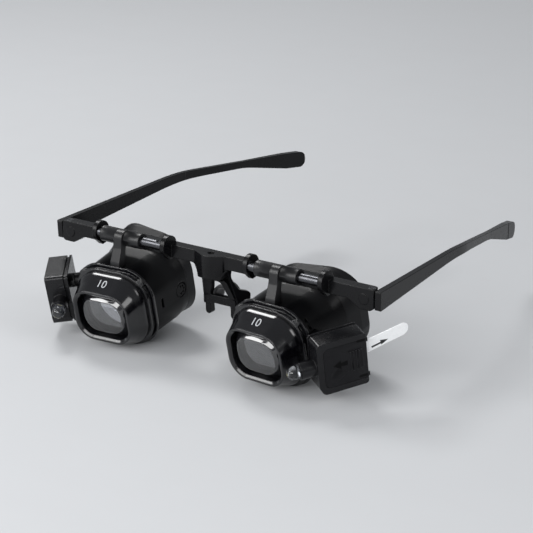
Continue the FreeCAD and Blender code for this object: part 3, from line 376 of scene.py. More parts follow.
def polyester(name, base):
    """Thin white strip, slightly translucent, with a faint grain along its length."""
    fibre_size, fibre_depth, bleed = 0.0006, 0.000004, 0.0006
    shade = Shade(name)
    fibre = shade.noise(fibre_size, 3.0, shade.stretched(0.3, 1.0, 1.0))
    shade.paint(shade.mix(shade.spread(fibre, 0.0, 1.0), base, lighter(base, 0.94)))
    shade.polish(shade.spread(fibre, 0.3, 0.42))
    shade.bump(fibre, fibre_depth)
    shade.set(Subsurface_Weight=0.15, Subsurface_Radius=(bleed, bleed, bleed),
              Subsurface_Scale=1.0)
    return shade.material


def printed(name, base):
    """Pad-printed ink with small breaks."""
    break_size, ink_depth = 0.00022, 0.000004
    shade = Shade(name)
    ink = shade.noise(break_size, 3.0)
    shade.paint(shade.mix(shade.spread(ink, 0.0, 1.0, 0.25, 0.4), lighter(base, 0.45), base))
    shade.polish(shade.spread(ink, 0.35, 0.5))
    shade.bump(ink, ink_depth)
    return shade.material


def build_finishes(finishes, sizes):
    """All finishes by name."""
    soft = sizes.edge_soft
    frame_tint, lamp_tint, steel_tint = (
        finishes.frame_colour, finishes.lamp_colour, finishes.steel_colour)
    every_way = (1.0, 1.0, 1.0)
    return {
        "frame": moulded("Frame satin black", frame_tint, finishes.frame_rough, depth=SATIN_GRAIN,
                         wear=0.1, soft=soft * 1.3, gleam=0.2),
        "hanger": moulded("Hanger satin black", lighter(frame_tint, 1.3), 0.36, depth=SATIN_GRAIN,
                          wear=0.1, soft=soft * 1.2, gleam=0.42),
        "hood": moulded("Hood gloss black", finishes.hood_colour, finishes.hood_rough,
                        grain=0.0006, depth=0.0000006, wear=0.1, coat=0.4, soft=soft * 2.6,
                        gleam=0.48),
        "housing": moulded("Housing satin black", finishes.housing_colour, finishes.housing_rough,
                           depth=SATIN_GRAIN, wear=0.1, soft=soft, gleam=0.14),
        "eyecup": moulded("Eyecup matte black", finishes.eyecup_colour, 0.42, grain=0.00035,
                          depth=0.000005, wear=0.1, soft=soft * 1.5, gleam=0.22),
        "lamp": moulded("Lamp black", lamp_tint, 0.26, grain=0.0004, depth=SATIN_GRAIN, wear=0.15,
                        soft=soft * 1.3, gleam=0.3),
        "cover": moulded("Cover black", lighter(lamp_tint, 1.1), 0.42, grain=0.00025,
                         depth=0.000003, wear=0.15, soft=soft * 0.7, gleam=0.2),
        # Dark finish of the cover's arrow, and painted shade on the notch marks
        "mark": moulded("Mark black", lighter(lamp_tint, 0.2), 0.65, depth=0.000004, wear=0.0,
                        gleam=0.12),
        "steel": ground_steel("Ground steel", steel_tint, 0.26),
        "screw": ground_steel("Screw steel", lighter(steel_tint, 1.15), 0.24, every_way),
        "can": ground_steel("Cell can", lighter(steel_tint, 1.2), 0.16, (1.0, 0.05, 0.05)),
        "brass": ground_steel("Contact strip", (0.72, 0.55, 0.26), 0.25, (1.0, 0.04, 1.0)),
        "ring": ground_steel("Dark metal ring", (0.05, 0.051, 0.054), 0.16, every_way),
        "cup": ground_steel("Reflector cup", (0.22, 0.225, 0.235), 0.16, every_way),
        "glass": clear_body("Lens glass", (0.95, 0.96, 0.99), 1.72, 0.0, coat=0.8, gleam=0.75),
        "edge": moulded("Blackened lens edge", (0.004, 0.004, 0.005), 0.1, depth=0.0000003,
                        wear=0.0, coat=0.9, soft=0.0001, gleam=0.95),
        "epoxy": clear_body("Diode epoxy", (0.95, 0.96, 0.98), 1.54, 0.01),
        "phosphor": printed("Diode phosphor", (0.9, 0.78, 0.2)),
        "rubber": soft_rubber("Saddle rubber", finishes.rubber_colour),
        "tab": polyester("Tab polyester", finishes.tab_colour),
        "print": printed("Number ink", finishes.print_colour),
        "tab_print": printed("Tab ink", (0.012, 0.012, 0.014)),
    }


FINISHES = {}


def finish(name):
    """The finish with this name, built on first use."""
    if not FINISHES:
        scene = bpy.context.scene
        FINISHES.update(build_finishes(scene.magnifier_finishes, scene.magnifier_sizes))
    return FINISHES[name]


# Meshes
def aimed(place, side):
    """Frame of a loupe or lamp in metres, for one side."""
    x, y, z, toe, pitch, roll = place
    turn = (Matrix.Rotation(math.radians(-toe), 4, "Z")
            @ Matrix.Rotation(math.radians(pitch), 4, "X")
            @ Matrix.Rotation(math.radians(roll), 4, "Y"))
    own = Matrix.Translation(Vector((x, y, z)) * MM) @ turn
    mirror = Matrix.Scale(-1, 4, Vector((1, 0, 0))) if side == "right" else Matrix.Identity(4)
    return Matrix.Translation(Vector((REST_SLIDE * MM, 0, 0))) @ mirror @ own


def loupe_frame(side):
    return aimed(LOUPE_PLACE, side)


def lamp_frame(side):
    return aimed(LAMP_PLACE, side)


def linked(name, data):
    """A new object in the scene."""
    made = bpy.data.objects.new(name, data)
    bpy.context.scene.collection.objects.link(made)
    return made


def baked(holder, name):
    """The mesh that an object shows, without the object."""
    shown = holder.evaluated_get(bpy.context.evaluated_depsgraph_get())
    mesh = bpy.data.meshes.new_from_object(shown)
    bpy.data.objects.remove(holder)
    mesh.name = name
    return mesh


def add(mesh, name, body, finish_name):
    """A finished piece at the origin that rides on a body."""
    piece = linked(name, mesh)
    mesh.materials.clear()
    mesh.materials.append(finish(finish_name))
    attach(piece, body)
    return piece


def from_bmesh(bm, name):
    mesh = bpy.data.meshes.new(name)
    bm.to_mesh(mesh)
    bm.free()
    return mesh


def joined(node, place=Matrix.Identity(4)):
    """The node's loose triangles joined into whole flat faces, seen from a place."""
    bm = bmesh.new()
    bm.from_mesh(frame["nodes"][node].data)
    bm.transform(place.inverted())
    bmesh.ops.remove_doubles(bm, verts=bm.verts, dist=JOIN_WITHIN)
    bmesh.ops.dissolve_limit(bm, angle_limit=FLAT_WITHIN, verts=bm.verts, edges=bm.edges)
    return bm


def merged_copy(node):
    """The node's mesh with flat faces whole and curved ones smooth."""
    bm = joined(node)
    bmesh.ops.recalc_face_normals(bm, faces=bm.faces)
    return smooth(from_bmesh(bm, node), SHARP_DEGREES)


def weighted(mesh, name):
    """The mesh with flat faces kept flat beside rounded ones."""
    holder = linked(name, mesh)
    modifier = holder.modifiers.new("Flat faces", "WEIGHTED_NORMAL")
    modifier.keep_sharp = True
    modifier.weight = 80
    return baked(holder, name)


def body_of(node):
    for body, members in frame["record"]["behaviour"]["bodies"].items():
        if node in members:
            return body
    raise RuntimeError("no body holds " + node)


def dress(node, finish_name):
    """Finished piece in place of a node, in its exact shape."""
    mesh = weighted(merged_copy(node), node + "_finished")
    piece = add(mesh, node + "_finished", body_of(node), finish_name)
    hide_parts(node)
    return piece


def dress_both(stem, finish_name):
    for side in SIDES:
        dress(stem + "_" + side, finish_name)


def placed(mesh, matrix):
    """The mesh carried to its place, with its faces still pointing outwards."""
    mesh.transform(matrix)
    if matrix.determinant() < 0:
        mesh.flip_normals()
    return mesh


def smooth(mesh, angle=35):
    mesh.shade_smooth()
    mesh.set_sharp_from_angle(angle=math.radians(angle))
    return mesh


def rounded_ring(half_width, half_height, corner, arc=10, straight=8):
    """Points around a rounded rectangle in x and z."""
    points = []
    for quarter, (across, rise) in enumerate(((1, 1), (-1, 1), (-1, -1), (1, -1))):
        middle = (across * (half_width - corner), rise * (half_height - corner))
        for step in range(arc + 1):
            angle = math.pi / 2 * (quarter + step / arc)
            points.append((middle[0] + corner * math.cos(angle),
                           middle[1] + corner * math.sin(angle)))
    full = []
    for index, start in enumerate(points):
        full.append(start)
        if index % (arc + 1) == arc:
            end = points[(index + 1) % len(points)]
            for step in range(1, straight):
                part = step / straight
                full.append(tuple(a + (b - a) * part for a, b in zip(start, end)))
    return full


def skinned(rings, name):
    """Closed solid through rings of points in mm, with a point or a face at each end."""
    bm = bmesh.new()
    rows = [[bm.verts.new(Vector(point) * MM) for point in ring] for ring in rings]
    for near, far in zip(rows, rows[1:]):
        count = max(len(near), len(far))
        for index in range(count):
            following = (index + 1) % count
            if len(near) == 1:
                bm.faces.new((near[0], far[index], far[following]))
            elif len(far) == 1:
                bm.faces.new((near[index], far[0], near[following]))
            else:
                bm.faces.new((near[index], far[index], far[following], near[following]))
    for row in (rows[0], rows[-1]):
        if len(row) > 1:
            bm.faces.new(row)
    bmesh.ops.recalc_face_normals(bm, faces=bm.faces)
    return from_bmesh(bm, name)


def lathe(profile, name, middle=(0.0, 0.0), count=36):
    """Solid turned about a line along y from (radius, along) rows."""
    rings = []
    for radius, along in profile:
        if radius == 0:
            rings.append([(middle[0], along, middle[1])])
            continue
        turns = (2 * math.pi * step / count for step in range(count))
        rings.append([(middle[0] + radius * math.cos(turn), along,
                       middle[1] + radius * math.sin(turn)) for turn in turns])
    return skinned(rings, name)


def plate(outline, near, far, name):
    """Flat plate of an (along, up) outline, from near to far across."""
    rings = [[(across, along, rise) for along, rise in outline] for across in (near, far)]
    return skinned(rings, name)


def bars_tree():
    """Node tree that lays out round-ended bars beside each other."""
    tree = bpy.data.node_groups.new("Row of bars", "GeometryNodeTree")
    sockets = {}
    for label, kind in (("Count", "Int"), ("Pitch", "Float"), ("Length", "Float"),
                        ("Radius", "Float"), ("Finish", "Material")):
        sockets[label] = tree.interface.new_socket(
            label, in_out="INPUT", socket_type="NodeSocket" + kind).identifier
    tree.interface.new_socket("Bars", in_out="OUTPUT", socket_type="NodeSocketGeometry")
    given = tree.nodes.new("NodeGroupInput").outputs
    end = tree.nodes.new("NodeGroupOutput")

    def node(kind, **inputs):
        made = tree.nodes.new(kind)
        for label, value in inputs.items():
            socket = made.inputs[label.replace("_", " ")]
            if isinstance(value, bpy.types.NodeSocket):
                tree.links.new(value, socket)
            else:
                socket.default_value = value
        return made

    bar = node("GeometryNodeMeshCylinder", Vertices=14, Radius=given["Radius"],
               Depth=given["Length"])
    parts = [bar.outputs["Mesh"]]
    for way in (0.5, -0.5):
        ball = node("GeometryNodeMeshUVSphere", Segments=14, Rings=8, Radius=given["Radius"])
        reach = node("ShaderNodeMath")
        reach.operation = "MULTIPLY"
        tree.links.new(given["Length"], reach.inputs[0])
        reach.inputs[1].default_value = way
        lift = node("ShaderNodeCombineXYZ", Z=reach.outputs["Value"])
        parts.append(node("GeometryNodeTransform", Geometry=ball.outputs["Mesh"],
                          Translation=lift.outputs["Vector"]).outputs["Geometry"])
    join = tree.nodes.new("GeometryNodeJoinGeometry")
    for part in parts:
        tree.links.new(part, join.inputs["Geometry"])
    step = node("ShaderNodeCombineXYZ", Y=given["Pitch"])
    row = node("GeometryNodeMeshLine", Count=given["Count"], Offset=step.outputs["Vector"])
    spread = node("GeometryNodeInstanceOnPoints", Points=row.outputs["Mesh"],
                  Instance=join.outputs["Geometry"])
    real = node("GeometryNodeRealizeInstances", Geometry=spread.outputs["Instances"])
    coat = node("GeometryNodeSetMaterial", Geometry=real.outputs["Geometry"],
                Material=given["Finish"])
    tree.links.new(coat.outputs["Geometry"], end.inputs["Bars"])
    return tree, sockets


def row_of_bars(name, count, pitch, length, radius, finish_name):
    """Plain mesh of bars along z, from the first at the origin onwards along y."""
    tree, sockets = bars_tree()
    holder = linked(name, bpy.data.meshes.new(name))
    modifier = holder.modifiers.new("Row", "NODES")
    modifier.node_group = tree
    for label, value in (("Count", count), ("Pitch", pitch), ("Length", length),
                         ("Radius", radius), ("Finish", finish(finish_name))):
        modifier[sockets[label]] = value
    return smooth(baked(holder, name))


class PieceOperator:
    """Shared start of the operators: each one builds its pieces or raises an error."""

    bl_options = {"REGISTER", "UNDO"}

    def execute(self, context):
        self.build(context.scene)
        return {"FINISHED"}


class MAGNIFIER_OT_brow_bar(PieceOperator, bpy.types.Operator):
    """Brow bar with its lugs, plate, legs and wings"""

    bl_idname = "magnifier.brow_bar"
    bl_label = "Brow bar"

    def build(self, scene):
        dress("brow_bar", "frame")


class MAGNIFIER_OT_nose_saddle(PieceOperator, bpy.types.Operator):
    """Soft arched pad behind the cross strap"""

    bl_idname = "magnifier.nose_saddle"
    bl_label = "Nose saddle"

    def build(self, scene):
        half, wall, top, bottom, front, back = 4.4, 1.5, -13.9, -20.4, 6.0, 12.5
        leg_step, leg_rows, arch_rows, around = 0.35, 5, 24, 28
        end_swells = (0.45, 0.78, 0.92)
        thick_power, deep_power, deep_least = 0.6, 0.55, 0.96
        bend = half - wall / 2
        centre = top - half
        rises = [bottom + leg_step + step * leg_step for step in range(leg_rows)]
        turns = [math.pi * (1 - step / arch_rows) for step in range(1, arch_rows)]
        path = [(-bend, rise, -1.0, 0.0) for rise in rises]
        path += [(bend * math.cos(turn), centre + bend * math.sin(turn), math.cos(turn),
                  math.sin(turn)) for turn in turns]
        path += [(bend, rise, 1.0, 0.0) for rise in reversed(rises)]
        last = len(path) - 1
        rings = []
        for index, (across, rise, out_x, out_z) in enumerate(path):
            near = min(index, last - index)
            swell = end_swells[near] if near < len(end_swells) else 1.0
            ring = []
            for step in range(around):
                turn = 2 * math.pi * step / around
                thick, deep = math.cos(turn), math.sin(turn)
                thick = math.copysign(abs(thick) ** thick_power, thick) * wall / 2 * swell
                deep = math.copysign(abs(deep) ** deep_power, deep) * (back - front) / 2
                deep *= deep_least + (1 - deep_least) * swell
                ring.append((across + out_x * thick, (front + back) / 2 + deep,
                             rise + out_z * thick))
            rings.append(ring)
        mesh = smooth(skinned(rings, "nose_saddle_soft"), 60)
        pad = add(mesh, "nose_saddle_soft", "frame", "rubber")
        rounding = pad.modifiers.new("Rounding", "SUBSURF")
        rounding.levels = rounding.render_levels = 1
        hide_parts("nose_saddle")


class MAGNIFIER_OT_hinge_screws(PieceOperator, bpy.types.Operator):
    """Slotted screws in the ends of the bar"""

    bl_idname = "magnifier.hinge_screws"
    bl_label = "Hinge screws"

    def build(self, scene):
        dress_both("hinge_screw", "screw")


class MAGNIFIER_OT_temples(PieceOperator, bpy.types.Operator):
    """Front halves and ear pieces of both temples"""

    bl_idname = "magnifier.temples"
    bl_label = "Temples"

    def build(self, scene):
        dress_both("temple_arm", "frame")
        dress_both("temple_tip", "frame")


class MAGNIFIER_OT_rods(PieceOperator, bpy.types.Operator):
    """Ground steel rods that carry the loupes"""

    bl_idname = "magnifier.rods"
    bl_label = "Rods"

    def build(self, scene):
        dress_both("slide_rod", "steel")


class MAGNIFIER_OT_hangers(PieceOperator, bpy.types.Operator):
    """Sleeves and straps that hang the loupes on the rods"""

    bl_idname = "magnifier.hangers"
    bl_label = "Hangers"

    def build(self, scene):
        dress_both("hanger", "hanger")


class MAGNIFIER_OT_hoods(PieceOperator, bpy.types.Operator):
    """Glossy front hoods and their collars"""

    bl_idname = "magnifier.hoods"
    bl_label = "Hoods and collars"

    def build(self, scene):
        dress_both("collar_ring", "hood")
        sizes = scene.magnifier_sizes
        for side in SIDES:
            name, body = "lens_hood_" + side, "loupe_" + side
            mesh = rounded_hood(name, loupe_frame(side), sizes.hood_lip / MM)
            shell = add(mesh, name + "_finished", body, "hood")
            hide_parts(name)
            mesh = number_on_hood(side, shell.data, sizes.number_text, sizes.number_height)
            add(mesh, "number_" + side, body, "print")


def row_at(rows, along):
    """Half width and half height at a depth between rows."""
    for near, far in zip(rows, rows[1:]):
        if along <= far[0]:
            part = (along - near[0]) / (far[0] - near[0])
            return [a + (b - a) * part for a, b in zip(near[1:], far[1:])]
    return rows[-1][1:]


def rounded_hood(node, place, lip):
    """The hood with a chamfered window and sides that curve over into the rear edge."""
    cut_within, inward = 1e-7, -0.3
    bm = joined(node, place)
    for along in (lip,) + HOOD_CUTS:
        whole = bm.verts[:] + bm.edges[:] + bm.faces[:]
        bmesh.ops.bisect_plane(bm, geom=whole, dist=cut_within, plane_co=(0, along * MM, 0),
                               plane_no=(0, 1, 0))
    bmesh.ops.recalc_face_normals(bm, faces=bm.faces)
    bm.normal_update()
    rim = [vertex for vertex in bm.verts if abs(vertex.co.y) < HOOD_MARGIN * MM and any(
        face.normal.x * vertex.co.x + face.normal.z * vertex.co.z < inward * vertex.co.length
        for face in vertex.link_faces)]
    for vertex in rim:
        vertex.co.x *= 1 + lip / WINDOW[0]
        vertex.co.z *= 1 + lip / WINDOW[1]
    for vertex in bm.verts:
        along = vertex.co.y / MM
        if not HOOD_MARGIN < along < HOOD_SOLID[-1][0] - HOOD_MARGIN:
            continue
        before, after = row_at(HOOD_SOLID, along), row_at(HOOD_SEEN, along)
        reach = max(abs(vertex.co.x) / MM / before[0], abs(vertex.co.z) / MM / before[1])
        outward = vertex.co.x * vertex.normal.x + vertex.co.z * vertex.normal.z
        if reach > HOOD_OUTSIDE and outward > 0:
            vertex.co.x *= after[0] / before[0]
            vertex.co.z *= after[1] / before[1]
    mesh = smooth(placed(from_bmesh(bm, node), place), SHARP_DEGREES)
    return weighted(mesh, node + "_finished")


def number_on_hood(side, hood, text, height):
    """Thin printed number that follows the top of a hood."""
    depth, slant, above, gap, ink = 0.0042, 0.93, 0.03, 0.000012, 0.00003
    letters = bpy.data.curves.new("Number", "FONT")
    letters.body = text
    letters.align_x = letters.align_y = "CENTER"
    letters.resolution_u = 8
    letters.extrude = 0.02
    mesh = baked(linked("Number", letters), "Number")
    rises = [vertex.co.y for vertex in mesh.vertices]
    widths = [vertex.co.x for vertex in mesh.vertices]
    size = height / (max(rises) - min(rises))
    middle = Vector(((max(widths) + min(widths)) / 2, (max(rises) + min(rises)) / 2, 0))
    surface = BVHTree.FromPolygons([vertex.co for vertex in hood.vertices],
                                   [tuple(face.vertices) for face in hood.polygons])
    matrix = loupe_frame(side)
    down = matrix.to_3x3() @ Vector((0, 0, -1))
    reading = 1 if side == "left" else -1
    for vertex in mesh.vertices:
        spot = (vertex.co - middle) * size
        start = matrix @ Vector((reading * spot.x, depth + spot.y * slant, above))
        place, normal = surface.ray_cast(start, down)[:2]
        vertex.co = place + normal * (gap + (ink if vertex.co.z > 0 else 0.0))
    return mesh


class MAGNIFIER_OT_lenses(PieceOperator, bpy.types.Operator):
    """Front and eye lenses"""

    bl_idname = "magnifier.lenses"
    bl_label = "Lenses"

    def build(self, scene):
        sizes = scene.magnifier_sizes
        for side in SIDES:
            mesh, edge_faces = front_glass(sizes.lens_bevel / MM, math.tan(sizes.lens_slope))
            placed(mesh, loupe_frame(side))
            name = "front_lens_" + side
            lens = add(mesh, name + "_finished", "loupe_" + side, "glass")
            lens.data.materials.append(finish("edge"))
            for index in edge_faces:
                lens.data.polygons[index].material_index = 1
            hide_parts(name)
        dress_both("eye_lens", "glass")


def front_glass(bevel, slope):
    """Curved glass that rolls back along its rim, and the range of its rolled faces."""
    lap, inner_corner, bevel_steps, ease = 0.72, 5.2, 16, 0.05
    vertex_at, thick, front_curve, rear_curve = 0.6, 6.57, 220.0, 320.0
    shrinks = (0.97, 0.85, 0.7, 0.55, 0.4, 0.25, 0.1)

    def front(points, part, widths):
        roll = slope * (part - ease * (1 - math.exp(-part / ease)))
        return [(x, vertex_at + (x * x + z * z) / front_curve + roll * width, z)
                for (x, z), width in zip(points, widths)]

    def rear(points):
        return [(x, vertex_at + thick - (x * x + z * z) / rear_curve, z) for x, z in points]

    def scaled(points, k):
        return [(x * k, z * k) for x, z in points]

    inner = rounded_ring(WINDOW[0] - bevel, WINDOW[1] - bevel, inner_corner)
    rim = rounded_ring(*WINDOW)
    outer = rounded_ring(*(size + lap for size in WINDOW))
    widths = [math.dist(near, far) for near, far in zip(inner, rim)]
    rings = [[(0.0, vertex_at, 0.0)]]
    rings += [front(scaled(inner, k), 0.0, widths) for k in reversed(shrinks)]
    for step in range(bevel_steps + 1):
        part = step / bevel_steps
        ring = [tuple(a + (b - a) * part for a, b in zip(near, far))
                for near, far in zip(inner, rim)]
        rings.append(front(ring, part, widths))
    rings += [front(outer, 1.0, widths), rear(outer)]
    rings += [rear(scaled(outer, k)) for k in shrinks]
    rings.append([(0.0, vertex_at + thick, 0.0)])
    mesh = smooth(skinned(rings, "front_glass"), 40)
    first, rolled = len(shrinks) + 1, bevel_steps + 2
    return mesh, range(first * len(inner), (first + rolled) * len(inner))


class MAGNIFIER_OT_housings(PieceOperator, bpy.types.Operator):
    """Lens housings with the arms that hold the lamps"""

    bl_idname = "magnifier.housings"
    bl_label = "Housings"

    def build(self, scene):
        dress_both("lens_housing", "housing")
        dress_both("lamp_arm", "housing")
        dress_both("pivot_pin", "steel")


class MAGNIFIER_OT_eyecups(PieceOperator, bpy.types.Operator):
    """Matte eyecups that flare towards the eye"""

    bl_idname = "magnifier.eyecups"
    bl_label = "Eyecups"

    def build(self, scene):
        dress_both("eyecup", "eyecup")


def levelled(mesh, place, level):
    """Push what stands above a level across the lamp down to it."""
    back = place.inverted()
    for vertex in mesh.vertices:
        spot = back @ vertex.co
        if spot.x > level:
            spot.x = level
            vertex.co = place @ spot


def place_bars(mesh, place, start):
    """Carry a row of bars to a start in the lamp's frame, in mm."""
    mesh.transform(Matrix.Translation(Vector(start) * MM))
    placed(mesh, place)


def mark(name, outline, levels, side):
    """Flat dark mark on a battery cover; the notch marks are painted shade of recesses."""
    mesh = placed(plate(outline, *levels, name), lamp_frame(side))
    add(mesh, name + "_" + side, "cover_" + side, "mark")


class MAGNIFIER_OT_lamps(PieceOperator, bpy.types.Operator):
    """Lamp boxes, lids, covers and switches"""

    bl_idname = "magnifier.lamps"
    bl_label = "Lamp boxes"

    def build(self, scene):
        for stem, finish_name in (("lamp_case", "lamp"), ("lamp_lid", "lamp"),
                                  ("switch_knob", "lamp"), ("button_cells", "can"),
                                  ("contact_strips", "brass")):
            dress_both(stem, finish_name)
        sizes = scene.magnifier_sizes
        for side in SIDES:
            place = lamp_frame(side)
            cover = dress("battery_cover_" + side, "cover")
            levelled(cover.data, place, COVER_FACE * MM)
            grips = row_of_bars("grips_" + side, sizes.ridge_count, sizes.ridge_pitch,
                                sizes.ridge_length, sizes.ridge_radius, "cover")
            place_bars(grips, place, GRIP_START)
            add(grips, "grips_" + side, "cover_" + side, "cover")
            mark("cover_arrow", COVER_ARROW, ARROW_LEVELS, side)
            # Dark notch plates: painted shade of the recesses at the cover's rear corners
            for name, low, high in COVER_NOTCH_SHADES:
                notch = ((NOTCH_START, low), (NOTCH_END, low), (NOTCH_END, high),
                         (NOTCH_START + NOTCH_CORNER[0], high),
                         (NOTCH_START, high - NOTCH_CORNER[1]))
                mark("cover_notch_" + name, notch, NOTCH_LEVELS, side)
            ribs = row_of_bars("ribs_" + side, sizes.rib_count, sizes.rib_pitch, RIB_LENGTH * MM,
                               sizes.rib_radius, "lamp")
            ribs.transform(Matrix.Rotation(math.pi / 2, 4, "Y"))
            x, y, z = RIB_MIDDLE
            y -= (sizes.rib_count - 1) * sizes.rib_pitch / 2 / MM
            place_bars(ribs, place, (x, y, z))
            add(ribs, "switch_ribs_" + side, "switch_" + side, "lamp")


def turned(name, profile, side, finish_name, across=0.0, count=36):
    """Turned piece inside a diode, about its axis or a line beside it."""
    mesh = smooth(lathe(profile, name, (across, DIODE_RISE), count))
    add(placed(mesh, lamp_frame(side)), name + "_" + side, "lamp_" + side, finish_name)


class MAGNIFIER_OT_diodes(PieceOperator, bpy.types.Operator):
    """Clear diodes and their bright rings"""

    bl_idname = "magnifier.diodes"
    bl_label = "Diodes"

    def build(self, scene):
        dress_both("led", "epoxy")
        dress_both("led_ring", "ring")
        for side in SIDES:
            turned("diode_cup", DIODE_CUP, side, "cup")
            turned("diode_die", DIODE_DIE, side, "phosphor")
            for name, across in (("a", -LEAD_OFFSET), ("b", LEAD_OFFSET)):
                turned("diode_lead_" + name, DIODE_LEAD, side, "cup", across, 12)


class MAGNIFIER_OT_pull_tab(PieceOperator, bpy.types.Operator):
    """White pull tab behind the left lamp"""

    bl_idname = "magnifier.pull_tab"
    bl_label = "Pull tab"

    def build(self, scene):
        near, far, rows = 2.22, 2.57, 48
        start_at, wall_at, end_at = -5.85, 9.0, 25.4
        height, rise, bend = 3.4, 0.2, 2.5
        wide, narrowing, narrow_over, tip_square = 2.6, 0.3, 8.0, 0.0025
        rings = []
        for step in range(rows + 1):
            along = start_at + (end_at - start_at) * math.sin(math.pi / 2 * step / rows)
            out = max(0.0, along - wall_at)
            middle = height + rise * out * out / (out + bend)
            half = wide - narrowing * min(1.0, out / narrow_over)
            round_off = max(0.0, along - (end_at - half))
            half = math.sqrt(max(half * half - round_off * round_off, tip_square))
            low, high = middle - half, middle + half
            rings.append([(near, along, low), (far, along, low), (far, along, high),
                          (near, along, high)])
        place = lamp_frame("left")
        mesh = placed(smooth(skinned(rings, "strip")), place)
        strip = add(mesh, "pull_tab_finished", "tab", "tab")
        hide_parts("pull_tab")
        mesh = placed(plate(TAB_ARROW, far - 0.02, far + 0.03, "tab_arrow"), place)
        add(mesh, "tab_arrow", "tab", "tab_print")


class MAGNIFIER_OT_stage(PieceOperator, bpy.types.Operator):
    """Pale floor, soft studio light and the camera"""

    bl_idname = "magnifier.stage"
    bl_label = "Stage"

    def build(self, scene):
        settings = scene.magnifier_stage
        scene.view_settings.view_transform = "Standard"
        floor(settings)
        world(scene, settings)
        softbox("Back light", (-0.52, 0.31, 0.69), (0.3, 0.3), settings.back_power)
        softbox("Key light", (-0.6, -0.59, 0.45), (0.38, 0.38), settings.key_power)
        softbox("Front light", (-0.02, -0.8, 0.3), (1.0, 0.36), settings.front_power)
        softbox("Fill light", (0.8, 0.05, 0.45), (0.4, 0.4), settings.fill_power)
        photo_camera(scene)


def floor(settings):
    """Large pale floor under the lowest point, as pale far away as near the lights."""
    half_size, gap, fade_from, fade_to = 30.0, 0.0002, 0.4, 1.6
    bm = bmesh.new()
    bmesh.ops.create_grid(bm, x_segments=8, y_segments=8, size=half_size)
    bmesh.ops.translate(bm, verts=bm.verts, vec=(0, 0, cad_box[0][2] - gap))
    mesh = from_bmesh(bm, "Floor")
    shade = Shade("Floor paint")
    base = settings.floor_colour
    speck = shade.noise(0.02, 4.0)
    shade.paint(shade.mix(shade.spread(speck, 0.0, 1.0), base, lighter(base, 0.99)))
    shade.set(Roughness=0.75)
    reach = shade.node("ShaderNodeVectorMath", operation="LENGTH")
    shade.link(shade.place, reach.inputs[0])
    far_off = shade.spread(reach.outputs["Value"], 0.0, 1.0, fade_from, fade_to)
    ray = shade.node("ShaderNodeLightPath").outputs
    mirrored = shade.maths("MAXIMUM", ray["Is Glossy Ray"], ray["Is Transmission Ray"])
    seen = shade.maths("MAXIMUM", ray["Is Camera Ray"], mirrored)
    glow = shade.node("ShaderNodeEmission")
    glow.inputs["Color"].default_value = tuple(base) + (1.0,)
    blend = shade.node("ShaderNodeMixShader")
    shade.link(shade.maths("MULTIPLY", far_off, seen), blend.inputs[0])
    shade.link(shade.shader.outputs[0], blend.inputs[1])
    shade.link(glow.outputs[0], blend.inputs[2])
    output = next(node for node in shade.tree.nodes if node.type == "OUTPUT_MATERIAL")
    shade.link(blend.outputs[0], output.inputs["Surface"])
    mesh.materials.append(shade.material)
    linked("Floor", mesh)


def world(scene, settings):
    """Pale surroundings."""
    scene.world = scene.world or bpy.data.worlds.new("Studio")
    scene.world.use_nodes = True
    nodes = scene.world.node_tree.nodes
    background = next(node for node in nodes if node.type == "BACKGROUND")
    background.inputs["Color"].default_value = (0.93, 0.96, 1.0, 1.0)
    background.inputs["Strength"].default_value = settings.world_light


def softbox(name, place, size, energy):
    """Rectangular area light aimed at the object."""
    lamp = bpy.data.lights.new(name, "AREA")
    lamp.shape = "RECTANGLE"
    lamp.size, lamp.size_y = size
    lamp.energy = energy
    holder = linked(name, lamp)
    holder.location = place
    way = Vector(LIGHT_TARGET) - Vector(place)
    holder.rotation_euler = way.to_track_quat("-Z", "Y").to_euler()


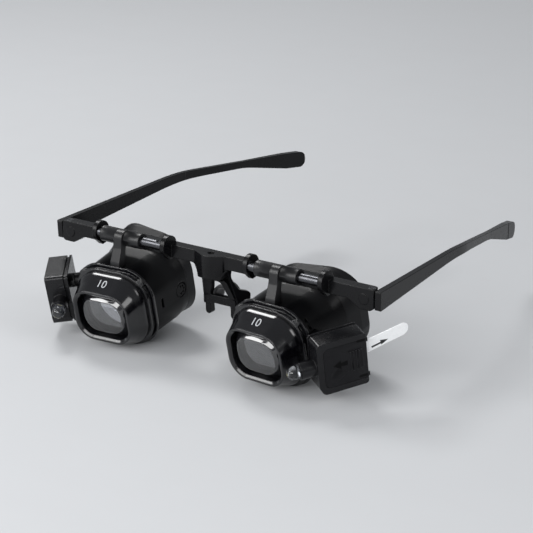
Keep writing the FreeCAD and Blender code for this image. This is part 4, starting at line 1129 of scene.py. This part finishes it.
def photo_camera(scene):
    """Camera at the photograph's viewing angle."""
    azimuth, elevation, roll = (math.radians(value) for value in CAMERA_TURN)
    across, up_shift = CAMERA_SHIFT
    right = Vector((math.cos(azimuth), math.sin(azimuth), 0))
    back = Vector((math.sin(azimuth) * math.cos(elevation),
                   -math.cos(azimuth) * math.cos(elevation), math.sin(elevation)))
    up = back.cross(right)
    right, up = (right * math.cos(roll) + up * math.sin(roll),
                 up * math.cos(roll) - right * math.sin(roll))
    lens = bpy.data.cameras.new("Photo camera")
    lens.sensor_width = SENSOR_WIDTH
    lens.lens = FOCAL_PIXELS * SENSOR_WIDTH / PICTURE_PIXELS
    lens.clip_start = 0.01
    holder = linked("Photo camera", lens)
    spot = right * across + up * up_shift + back * CAMERA_DISTANCE
    holder.matrix_world = (Matrix.Translation(spot)
                           @ Matrix((right, up, back)).transposed().to_4x4())
    scene.camera = holder


class MAGNIFIER_PT_panel(bpy.types.Panel):
    """Sidebar panel with every step and value"""

    bl_idname = "MAGNIFIER_PT_panel"
    bl_label = "Magnifier"
    bl_space_type = "VIEW_3D"
    bl_region_type = "UI"
    bl_category = "Magnifier"

    def draw(self, context):
        for operator in OPERATORS:
            self.layout.operator(operator.bl_idname)
        for attribute, group in GROUPS:
            box = self.layout.box()
            box.label(text=group.__doc__)
            for name in group.__annotations__:
                box.prop(getattr(context.scene, attribute), name)


OPERATORS = (MAGNIFIER_OT_brow_bar, MAGNIFIER_OT_nose_saddle, MAGNIFIER_OT_hinge_screws,
             MAGNIFIER_OT_temples, MAGNIFIER_OT_rods, MAGNIFIER_OT_hangers,
             MAGNIFIER_OT_hoods, MAGNIFIER_OT_lenses, MAGNIFIER_OT_housings,
             MAGNIFIER_OT_eyecups, MAGNIFIER_OT_lamps, MAGNIFIER_OT_diodes,
             MAGNIFIER_OT_pull_tab, MAGNIFIER_OT_stage)


def register():
    for attribute, group in GROUPS:
        bpy.utils.register_class(group)
        setattr(bpy.types.Scene, attribute, PointerProperty(type=group))
    for operator in OPERATORS:
        bpy.utils.register_class(operator)
    bpy.utils.register_class(MAGNIFIER_PT_panel)


def unregister():
    bpy.utils.unregister_class(MAGNIFIER_PT_panel)
    for operator in reversed(OPERATORS):
        bpy.utils.unregister_class(operator)
    for attribute, group in reversed(GROUPS):
        delattr(bpy.types.Scene, attribute)
        bpy.utils.unregister_class(group)


def main():
    register()
    for operator in OPERATORS:
        group, name = operator.bl_idname.split(".")
        getattr(getattr(bpy.ops, group), name)()


if __name__ == "__main__":
    main()
